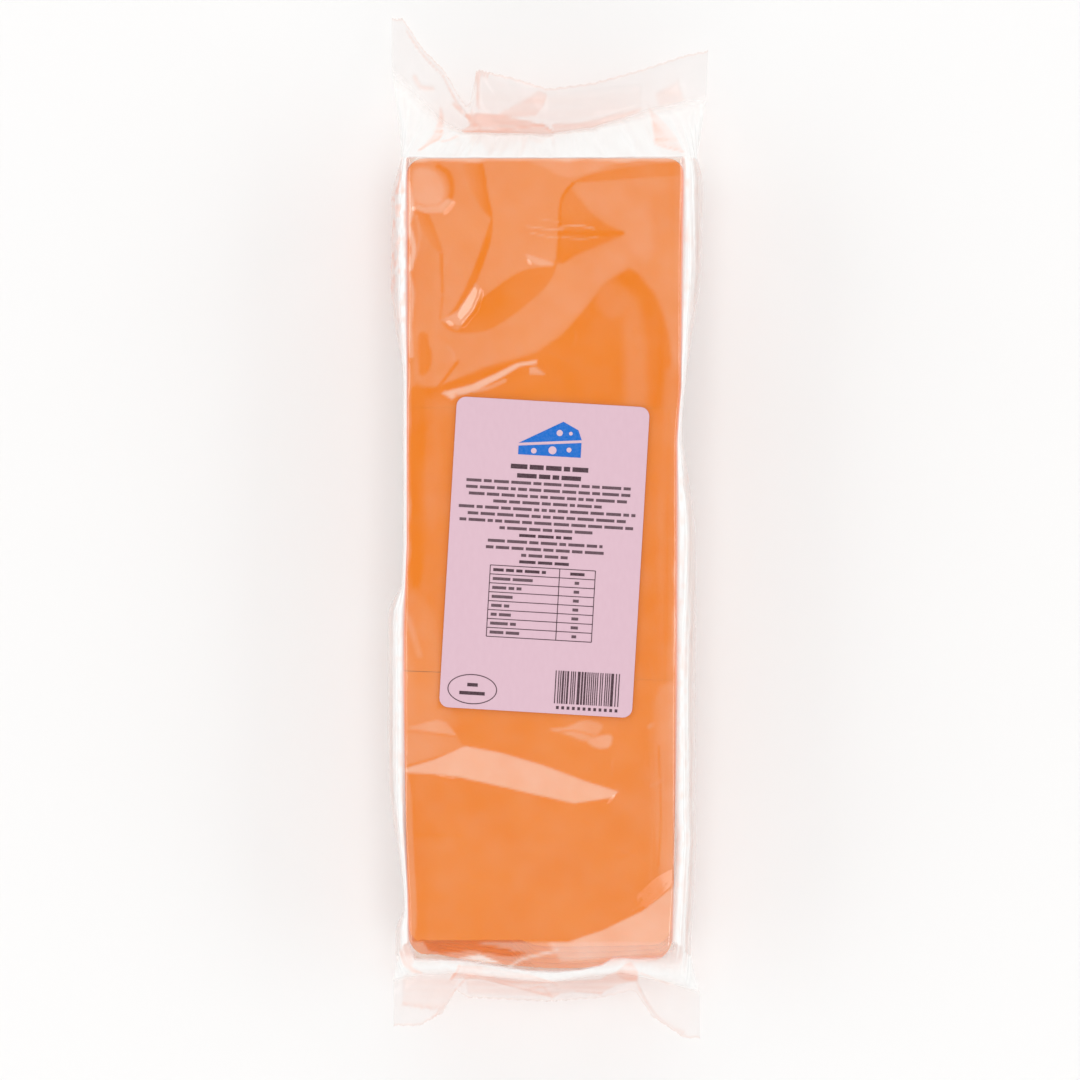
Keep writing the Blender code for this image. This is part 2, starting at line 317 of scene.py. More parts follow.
class NodeBoard:
    """Lays out and joins the nodes of one material."""

    def __init__(self, name: str) -> None:
        """Starts an empty material with its output.

        Args:
            name: the material's name.
        """
        self.material = bpy.data.materials.new(name)
        self.material.use_nodes = True
        self.tree = self.material.node_tree
        self.tree.nodes.clear()
        self.output = self.tree.nodes.new("ShaderNodeOutputMaterial")

    def add(self, kind: str, settings: dict | None = None, **sockets: object) -> bpy.types.Node:
        """Adds a node.

        Args:
            kind: the node's type, without its ShaderNode prefix.
            settings: properties of the node to set.
            sockets: inputs to fill by name, with a value or with another node's output.

        Returns:
            The node.
        """
        node = self.tree.nodes.new("ShaderNode" + kind)
        for key, value in (settings or {}).items():
            setattr(node, key, value)
        for key, value in sockets.items():
            self.fill(node.inputs[key.replace("_", " ")], value)
        return node

    def fill(self, socket: Socket, value: object) -> None:
        """Sets a socket to a value, or joins another node's output to it.

        Args:
            socket: the socket.
            value: a value, or an output.
        """
        if isinstance(value, Socket):
            self.tree.links.new(value, socket)
        else:
            socket.default_value = value

    def math(self, operation: str, *values: object) -> Socket:
        """Adds a Math node.

        Args:
            operation: what it works out, such as MULTIPLY.
            values: its inputs in order, numbers or outputs.

        Returns:
            The node's output.
        """
        node = self.add("Math", {"operation": operation})
        for socket, value in zip(node.inputs, values):
            self.fill(socket, value)
        return node.outputs[0]

    def noise(self, scale: float, detail: float, stretch: Triple = (1.0, 1.0, 1.0)) -> Socket:
        """Adds a noise in the piece's own coordinates.

        Args:
            scale: lumps a metre.
            detail: how many finer layers it has.
            stretch: a factor on each axis.

        Returns:
            The noise's value.
        """
        place = self.add("TexCoord").outputs["Object"]
        mapped = self.add("Mapping", Vector=place, Scale=stretch)
        texture = self.add("TexNoise", Vector=mapped.outputs[0], Scale=scale, Detail=detail)
        return texture.outputs["Fac"]

    def spread(self, value: Socket, low: float, high: float) -> Socket:
        """Spreads the middle of a noise over a range.

        Args:
            value: the noise.
            low: what a noise of 0.3 becomes.
            high: what a noise of 0.7 becomes.

        Returns:
            The spread value.
        """
        node = self.add("MapRange", Value=value, From_Min=0.3, From_Max=0.7, To_Min=low, To_Max=high)
        return node.outputs[0]

    def mix(self, share: object, first: object, second: object) -> Socket:
        """Mixes two colours.

        Args:
            share: how much of the second, as a number or an output.
            first: the colour at share 0, as a colour or an output.
            second: the colour at share 1, likewise.

        Returns:
            The mixed colour.
        """
        node = self.add("Mix", {"data_type": "RGBA"})
        self.fill(node.inputs[0], share)
        for socket, colour in ((node.inputs[6], first), (node.inputs[7], second)):
            self.fill(socket, colour if isinstance(colour, Socket) else (*colour, 1.0))
        return node.outputs[2]

    def blend(self, share: object, first: bpy.types.Node, second: bpy.types.Node) -> bpy.types.Node:
        """Mixes two shaders.

        Args:
            share: how much of the second, as a number or an output.
            first: the shader at share 0.
            second: the shader at share 1.

        Returns:
            The mixing node.
        """
        node = self.add("MixShader", Fac=share)
        self.tree.links.new(first.outputs[0], node.inputs[1])
        self.tree.links.new(second.outputs[0], node.inputs[2])
        return node

    def bump(self, height: Socket, depth: float) -> Socket:
        """Turns a height into a bumped normal, depth in metres."""
        return self.add("Bump", Strength=1.0, Distance=depth, Height=height).outputs[0]

    def close(self, shader: Socket) -> Material:
        """Joins the shader to the output and hands the material over."""
        self.tree.links.new(shader, self.output.inputs["Surface"])
        return self.material


@dataclass(frozen=True)
class CheeseFinish:
    """Smooth waxy processed cheese."""

    colour: Colour = (0.73, 0.182, 0.0055)
    paler: Colour = (0.75, 0.198, 0.009)
    roughness: float = 0.42
    roughness_spread: float = 0.06
    shine: float = 0.05
    speck_scale: float = 900.0
    speck_depth: float = 0.00003
    cloud_scale: float = 38.0
    glow: float = 0.12
    glow_radius: Triple = (1.0, 0.35, 0.08)
    glow_depth: float = 0.002

    def build(self) -> Material:
        """Makes the material.

        Returns:
            The material.
        """
        board = NodeBoard("waxy_cheese")
        clouds = board.noise(self.cloud_scale, 3.0)
        colour = board.mix(board.spread(clouds, 0.0, 1.0), self.colour, self.paler)
        speck = board.noise(self.speck_scale, 2.0)
        spread = self.roughness_spread
        roughness = board.spread(speck, self.roughness - spread, self.roughness + spread)
        shader = board.add(
            "BsdfPrincipled",
            Base_Color=colour,
            Roughness=roughness,
            Normal=board.bump(speck, self.speck_depth),
            Specular_IOR_Level=self.shine,
            Subsurface_Weight=self.glow,
            Subsurface_Radius=self.glow_radius,
            Subsurface_Scale=self.glow_depth,
        )
        return board.close(shader.outputs[0])


@dataclass(frozen=True)
class FilmFinish:
    """Clear glossy film, which mirrors more where its gap level is high and where it is seen edge on.

    It reads three attributes of the mesh: the gap level, which stands partly for how far it stands off the
    cheese and partly for painted reflection, with painted highlights where it is high and painted darker lines
    where it is low; milk, how much crumpled film scatters white; and the folds attribute, extra folds of film
    that carry a painted salmon reflection of the cheese's orange light.
    """

    name: str = "clear_film_gloss"
    face_tint: Colour = (0.985, 0.982, 0.978)
    slack_tint: Colour = (0.962, 0.985, 0.978)
    edge_tint: Colour = (0.96, 0.93, 0.91)
    crumpled_tint: Colour = (0.975, 0.970, 0.970)
    # salmon tint that paints the cheese's orange light reflected in folded film
    painted_cheese_reflection_tint: Colour = (0.95, 0.62, 0.52)
    greasy_haze: Colour = (0.95, 0.93, 0.70)
    crumpled_haze: Colour = (0.86, 0.86, 0.85)
    roughness: float = 0.05
    least_mirror: float = 0.018
    gap_mirror: float = 0.055
    gap_haze: float = 0.05
    flat_haze: float = 0.2
    edge_mirror_power: float = 2.5
    edge_mirror_calm: float = 0.3
    tight_mirror: float = 0.4
    uneven_scale: float = 120.0
    uneven_spread: float = 0.12
    milk_to_double: float = 6.0
    edge_tint_power: float = 2.0
    ripple_scale: float = 260.0
    ripple_depth: float = 0.00004

    def build(self) -> Material:
        """Makes the material.

        Returns:
            The material.
        """
        board = NodeBoard(self.name)
        gap_and_painted_reflection, milk, folds_and_painted_cheese_reflection = (
            board.add("Attribute", {"attribute_name": look}).outputs["Fac"] for look in FILM_LOOKS
        )
        facing = board.add("LayerWeight", Blend=0.5).outputs["Facing"]
        uneven = board.noise(self.uneven_scale, 3.0)
        uneven = board.spread(uneven, 1.0 - self.uneven_spread, 1.0 + self.uneven_spread)
        # the gap level is partly painted reflection: it raises the mirror and the haze where the film shows
        # painted highlights
        uneven_gap_and_painted_reflection = board.math("MULTIPLY", gap_and_painted_reflection, uneven)
        front = board.math("MULTIPLY_ADD", uneven_gap_and_painted_reflection, self.gap_mirror, self.least_mirror)
        crumpled = board.math("MULTIPLY_ADD", milk, 1.0 - self.edge_mirror_calm, self.edge_mirror_calm)
        rise = board.math("MULTIPLY", board.math("POWER", facing, self.edge_mirror_power), crumpled)
        slack_and_painted_reflection_factor = board.math("MULTIPLY_ADD", gap_and_painted_reflection, self.tight_mirror, self.tight_mirror)
        rise = board.math("MULTIPLY", rise, board.math("MINIMUM", slack_and_painted_reflection_factor, 1.0))
        rest = board.math("SUBTRACT", 1.0, front)
        mirror = board.math("ADD", front, board.math("MULTIPLY", rest, rise))
        slanting = board.math("MULTIPLY_ADD", facing, 1.0 - self.flat_haze, self.flat_haze)
        thick = board.math("MULTIPLY", milk, slanting)
        haze = board.math("MULTIPLY_ADD", uneven_gap_and_painted_reflection, self.gap_haze, thick)
        doubled = board.math("MINIMUM", board.math("MULTIPLY", milk, self.milk_to_double), 1.0)
        tint = board.mix(board.math("MINIMUM", gap_and_painted_reflection, 1.0), self.face_tint, self.slack_tint)
        tint = board.mix(doubled, tint, self.crumpled_tint)
        tint = board.mix(board.math("POWER", facing, self.edge_tint_power), tint, self.edge_tint)
        # painted salmon reflection of the cheese in folded film, in both the see-through tint and the haze
        tint = board.mix(folds_and_painted_cheese_reflection, tint, self.painted_cheese_reflection_tint)
        whitish = board.mix(doubled, self.greasy_haze, self.crumpled_haze)
        whitish = board.mix(folds_and_painted_cheese_reflection, whitish, self.painted_cheese_reflection_tint)
        ripple = board.noise(self.ripple_scale, 2.0)
        clear = board.add("BsdfTransparent", Color=tint)
        gloss = board.add(
            "BsdfGlossy",
            Color=(1.0, 1.0, 1.0, 1.0),
            Roughness=self.roughness,
            Normal=board.bump(ripple, self.ripple_depth),
        )
        white = board.add("BsdfDiffuse", Color=whitish)
        inner = board.blend(board.math("MINIMUM", haze, 1.0), clear, white)
        both = board.blend(mirror, inner, gloss)
        return board.close(both.outputs[0])


@dataclass(frozen=True)
class PaperFinish:
    """Smooth label paper."""

    colour: Colour = (0.645, 0.445, 0.515)
    darker: Colour = (0.63, 0.43, 0.50)
    roughness: float = 0.55
    shine: float = 0.2
    fibre_scale: float = 700.0
    fibre_stretch: Triple = (1.0, 0.4, 1.0)
    fibre_depth: float = 0.00001

    def build(self) -> Material:
        """Makes the material.

        Returns:
            The material.
        """
        board = NodeBoard("label_paper")
        fibres = board.noise(self.fibre_scale, 4.0, self.fibre_stretch)
        colour = board.mix(board.spread(fibres, 0.0, 1.0), self.colour, self.darker)
        shader = board.add(
            "BsdfPrincipled",
            Base_Color=colour,
            Roughness=self.roughness,
            Normal=board.bump(fibres, self.fibre_depth),
            Specular_IOR_Level=self.shine,
        )
        return board.close(shader.outputs[0])


@dataclass(frozen=True)
class PrintFinish:
    """A flat printed colour, a little uneven as ink is."""

    name: str
    colour: Colour
    unevenness: float = 0.06
    roughness: float = 0.5
    shine: float = 0.2
    blot_scale: float = 1500.0
    blot_share: float = 0.6

    def build(self) -> Material:
        """Makes the material.

        Returns:
            The material.
        """
        board = NodeBoard(self.name)
        lighter = tuple(min(1.0, c + (1.0 - c) * self.unevenness) for c in self.colour)
        blots = board.noise(self.blot_scale, 3.0)
        colour = board.mix(board.spread(blots, 0.0, self.blot_share), self.colour, lighter)
        shader = board.add(
            "BsdfPrincipled", Base_Color=colour, Roughness=self.roughness, Specular_IOR_Level=self.shine
        )
        return board.close(shader.outputs[0])


@dataclass(frozen=True)
class FloorFinish:
    """A plain pale table."""

    colour: Colour = (0.825, 0.82, 0.815)
    roughness: float = 0.9

    def build(self) -> Material:
        """Makes the material.

        Returns:
            The material.
        """
        board = NodeBoard("pale_table")
        colour = (*self.colour, 1.0)
        shader = board.add(
            "BsdfPrincipled", Base_Color=colour, Roughness=self.roughness, Specular_IOR_Level=0.0
        )
        return board.close(shader.outputs[0])


# The block of cheese


@dataclass(frozen=True)
class Block:
    """The outer form of the three stacks together."""

    top_end: float = 119.6
    low_end: float = -132.4
    top_face: float = 41.0
    shoulder: float = 0.4
    foot_inset: float = 2.4
    left_edge: Line = (
        (-132.4, -45.4), (-118.0, -45.8), (-95.0, -47.0), (-30.0, -47.0), (-5.0, -46.0), (119.6, -46.0),
    )
    right_edge: Line = (
        (-132.4, 40.2), (-120.0, 41.0), (-100.0, 42.0), (-90.0, 41.6), (28.0, 41.9), (36.0, 42.4),
        (46.0, 43.2), (119.6, 43.8),
    )
    fan_starts: Line = ((-42.0, 41.0), (-36.0, 33.0), (-12.0, 35.0), (-4.0, 41.0))
    fan_drop: float = 7.3
    fan_at_sides: float = 5.0
    fan_extra: float = 4.2
    fan_middle: float = 4.0
    fan_half_width: float = 40.0

    def left(self, y: Array | float) -> Array:
        """The left edge's x at y."""
        return np.interp(y, *zip(*self.left_edge))

    def right(self, y: Array | float) -> Array:
        """The right edge's x at y."""
        return np.interp(y, *zip(*self.right_edge))

    def fan_reach(self, x: Array, z: Array | float) -> Array:
        """How far the slid-out slices reach past the low end.

        Args:
            x: places across the block.
            z: the height.

        Returns:
            The reach at each place.
        """
        share = np.minimum(1.0, np.abs(x - self.fan_middle) / self.fan_half_width)
        depth = self.fan_at_sides + self.fan_extra * (1.0 - share * share)
        return depth * np.clip((np.interp(x, *zip(*self.fan_starts)) - z) / self.fan_drop, 0.0, 1.0)


@dataclass(frozen=True)
class Stack:
    """One of the three stacks of slices: where it lies along the block, and how it sits."""

    name: str
    low_y: float
    high_y: float
    low_slant: float = 0.0
    high_slant: float = 0.0
    low_corner: float = 3.0
    high_corner: float = 3.0
    fans_out: bool = False
    seed: int = 1


@dataclass(frozen=True)
class CheeseSlices:
    """The stacks of slices inside the film."""

    block: Block
    plan: PlanShift
    finish: CheeseFinish
    slices: int = 28
    corner_steps: int = 6
    film_gap: float = 0.25
    split: float = 0.04
    edge_round: float = 0.22
    inset: float = 0.25
    foot_inset: float = 2.5
    foot_height: float = 8.0
    seam_round: float = 0.005
    seam_reach: float = 2.5
    least_corner: float = 1.0
    slide_length: float = 30.0
    round_share: float = 0.28
    sharp_angle: float = 50.0
    play: Pair = (0.3, 0.0)
    stacks: tuple[Stack, ...] = (
        Stack("stack_at_top", 39.206, 119.6, low_corner=0.1, high_corner=5.5, seed=3),
        Stack("stack_in_middle", -47.08, 39.2, low_slant=-1.6, low_corner=0.1, high_corner=0.1, seed=5),
        Stack("stack_at_low_end", -132.4, -47.145, high_slant=-1.541, low_corner=6.0, high_corner=0.1,
              fans_out=True, seed=8),
    )

    def outline(self, stack: Stack, z: float, shift: Array) -> Array:
        """Draws one slice seen from above.

        Args:
            stack: the stack it is in.
            z: its height.
            shift: how far it slid, as (x, y).

        Returns:
            The outline's points (x, y), anticlockwise.
        """
        inset = self.inset + self.foot_inset * max(0.0, 1.0 - z / self.foot_height) ** 2
        corners = []
        for sign_x, sign_y in ((1.0, 1.0), (-1.0, 1.0), (-1.0, -1.0), (1.0, -1.0)):
            high_side = sign_y > 0.0
            y = stack.high_y if high_side else stack.low_y
            slant = stack.high_slant if high_side else stack.low_slant
            x = float(self.block.right(y)) if sign_x > 0.0 else float(self.block.left(y))
            y += slant * sign_x
            radius = stack.high_corner if high_side else stack.low_corner
            corners.append((x - sign_x * (inset + radius), y - sign_y * radius, radius))
        points = []
        for quarter, (x, y, radius) in enumerate(corners):
            for k in range(self.corner_steps + 1):
                angle = math.radians(90.0 * (quarter + k / self.corner_steps))
                points.append((x + radius * math.cos(angle), y + radius * math.sin(angle)))
        outline = self.divided(np.array(points))
        left = self.block.left(outline[:, 1]) + inset
        right = self.block.right(outline[:, 1]) - inset
        outline[:, 0] = np.clip(outline[:, 0], left, right)
        if stack.fans_out:
            low = np.clip((stack.low_y + self.slide_length - outline[:, 1]) / self.slide_length, 0.0, 1.0)
            outline[:, 1] -= self.block.fan_reach(outline[:, 0], z) * low
        return outline + shift

    def divided(self, points: Array, longest: float = 4.0) -> Array:
        """Cuts an outline's long stretches into shorter ones.

        Args:
            points: the outline's points.
            longest: the longest stretch that is left.

        Returns:
            The outline with its added points.
        """
        out = []
        for a, b in zip(points, np.roll(points, -1, axis=0)):
            pieces = max(1, int(math.ceil(np.linalg.norm(b - a) / longest)))
            out += [a + (b - a) * k / pieces for k in range(pieces)]
        return np.array(out)

    def edge_rounds(self, stack: Stack, outline: Array) -> Array:
        """How far a slice's edge is rounded at each point: hardly where it is pressed on the next stack.

        Args:
            stack: the stack it is in.
            outline: its outline.

        Returns:
            The rounding at each point.
        """
        rounds = np.full(len(outline), self.edge_round)
        for side_y, corner in ((stack.low_y, stack.low_corner), (stack.high_y, stack.high_corner)):
            if corner < self.least_corner:
                rounds[np.abs(outline[:, 1] - side_y) < self.seam_reach] = self.seam_round
        return rounds

    def slice_mesh(self, outline: Array, rounds: Array, low: float, high: float) -> tuple[Array, list]:
        """Makes one slice with soft edges.

        Args:
            outline: its outline.
            rounds: how far its edge is rounded at each point.
            low: the height of its lower face.
            high: the height of its upper face.

        Returns:
            Its points, and its faces.
        """
        middle = outline.mean(axis=0)
        inward = middle - outline
        inward /= np.linalg.norm(inward, axis=1)[:, None]
        drawn_in = outline + inward * rounds[:, None]
        rise = (high - low) * self.round_share
        rings = ((drawn_in, low), (outline, low + rise), (outline, high - rise), (drawn_in, high))
        points = np.concatenate([np.column_stack([ring, np.full(len(ring), z)]) for ring, z in rings])
        count = len(outline)
        faces = [list(range(count - 1, -1, -1)), list(range(3 * count, 4 * count))]
        for r in range(3):
            for k in range(count):
                nxt = (k + 1) % count
                faces.append([r * count + k, r * count + nxt, (r + 1) * count + nxt, (r + 1) * count + k])
        return points, faces

    def build_stack(self, stack: Stack) -> Piece:
        """Makes one stack as a piece.

        Args:
            stack: which one.

        Returns:
            The piece, dressed.
        """
        draw = np.random.default_rng(stack.seed)
        full = (self.block.top_face - self.film_gap) / self.slices
        points, faces, start = [], [], 0
        for k in range(self.slices):
            low = k * full + self.split
            high = (k + 1) * full - self.split
            shift = draw.uniform(-1.0, 1.0, 2) * self.play
            outline = self.outline(stack, low, shift)
            more, sides = self.slice_mesh(outline, self.edge_rounds(stack, outline), low, high)
            points.append(more)
            faces += [[start + i for i in side] for side in sides]
            start += len(more)
        piece = mesh_object(stack.name, self.plan.place(np.concatenate(points)), faces, smooth=True)
        piece.data.set_sharp_from_angle(angle=math.radians(self.sharp_angle))
        return piece

    def build(self) -> list[Piece]:
        """Makes all the stacks.

        Returns:
            The three pieces.
        """
        material = self.finish.build()
        pieces = []
        for stack in self.stacks:
            piece = self.build_stack(stack)
            piece.data.materials.append(material)
            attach(piece, BODY)
            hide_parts("bag")
            pieces.append(piece)
        return pieces


# The upper sheet's relief over the cheese


@dataclass(frozen=True)
class Patch:
    """An area of the film with its own level of painted reflection, which may fade from one side of the area to
    the other.
    """

    outline: Line
    level: float
    soft: float = 1.2
    far: float | None = None
    toward: float = 0.0
    curved: bool = True
    strength: float = 1.0

    def share(self, x: Array, y: Array) -> Array:
        """How far each point belongs to the patch, from 0 to 1."""
        edge = rounded(self.outline) if self.curved else np.array(self.outline, float)
        return self.strength * smooth_step(inside_depth(x, y, edge) / self.soft + 0.5)

    def level_at(self, x: Array, y: Array) -> Array | float:
        """The patch's level at each point.

        Args:
            x: the points' x.
            y: the points' y.

        Returns:
            The levels.
        """
        if self.far is None:
            return self.level
        angle = math.radians(self.toward)
        knots = np.array(self.outline, float) @ np.array([math.cos(angle), math.sin(angle)])
        along = x * math.cos(angle) + y * math.sin(angle)
        way = np.clip((along - knots.min()) / (knots.max() - knots.min()), 0.0, 1.0)
        return self.level + (self.far - self.level) * way


@dataclass(frozen=True)
class Crease:
    """A narrow line along which the sheet touches the cheese, or stands off it, drawn by its level as a painted
    darker line or a painted highlight.
    """

    line: Line
    width: float
    level: float = 0.0
    soft: float = 0.8
    strength: float = 1.0

    def share(self, x: Array, y: Array) -> Array:
        """How far each point belongs to the crease, from 0 to 1."""
        away = line_distance(x, y, rounded(self.line, closed=False), closed=False)
        return self.strength * smooth_step((self.width / 2.0 - away) / self.soft + 0.5)

    def level_at(self, x: Array, y: Array) -> float:
        """The crease's level, the same all along."""
        return self.level


@dataclass(frozen=True)
class Fold:
    """A flat facet that rises from its foot line to its crest line and drops behind it, with a painted
    highlight set by its level.
    """

    foot: Line
    crest: Line
    slope: float
    drop: float = 1.5
    level: float = 1.9
    soft: float = 0.7

    def height(self, x: Array, y: Array) -> Array:
        """The facet's height over points.

        Args:
            x: the points' x.
            y: the points' y.

        Returns:
            The heights, 0 away from the fold.
        """
        slope = math.tan(math.radians(self.slope))
        low, high, tail = [], [], []
        for (fx, fy), (cx, cy) in zip(self.foot, self.crest):
            reach = max(math.hypot(cx - fx, cy - fy), 1e-6)
            low.append((fx, fy, 0.0))
            high.append((cx, cy, reach * slope))
            tail.append((cx + (cx - fx) / reach * self.drop, cy + (cy - fy) / reach * self.drop, 0.0))
        top = np.zeros(x.shape)
        for k in range(len(low) - 1):
            for corners in (
                (low[k], low[k + 1], high[k + 1]),
                (low[k], high[k + 1], high[k]),
                (high[k], high[k + 1], tail[k + 1]),
                (high[k], tail[k + 1], tail[k]),
            ):
                top = np.maximum(top, facet_height(x, y, corners))
        return top

    def share(self, x: Array, y: Array) -> Array:
        """How far each point belongs to the facet, from 0 to 1."""
        outline = np.array(self.foot + self.crest[::-1], float)
        return np.clip(inside_depth(x, y, outline) / self.soft + 0.5, 0.0, 1.0)
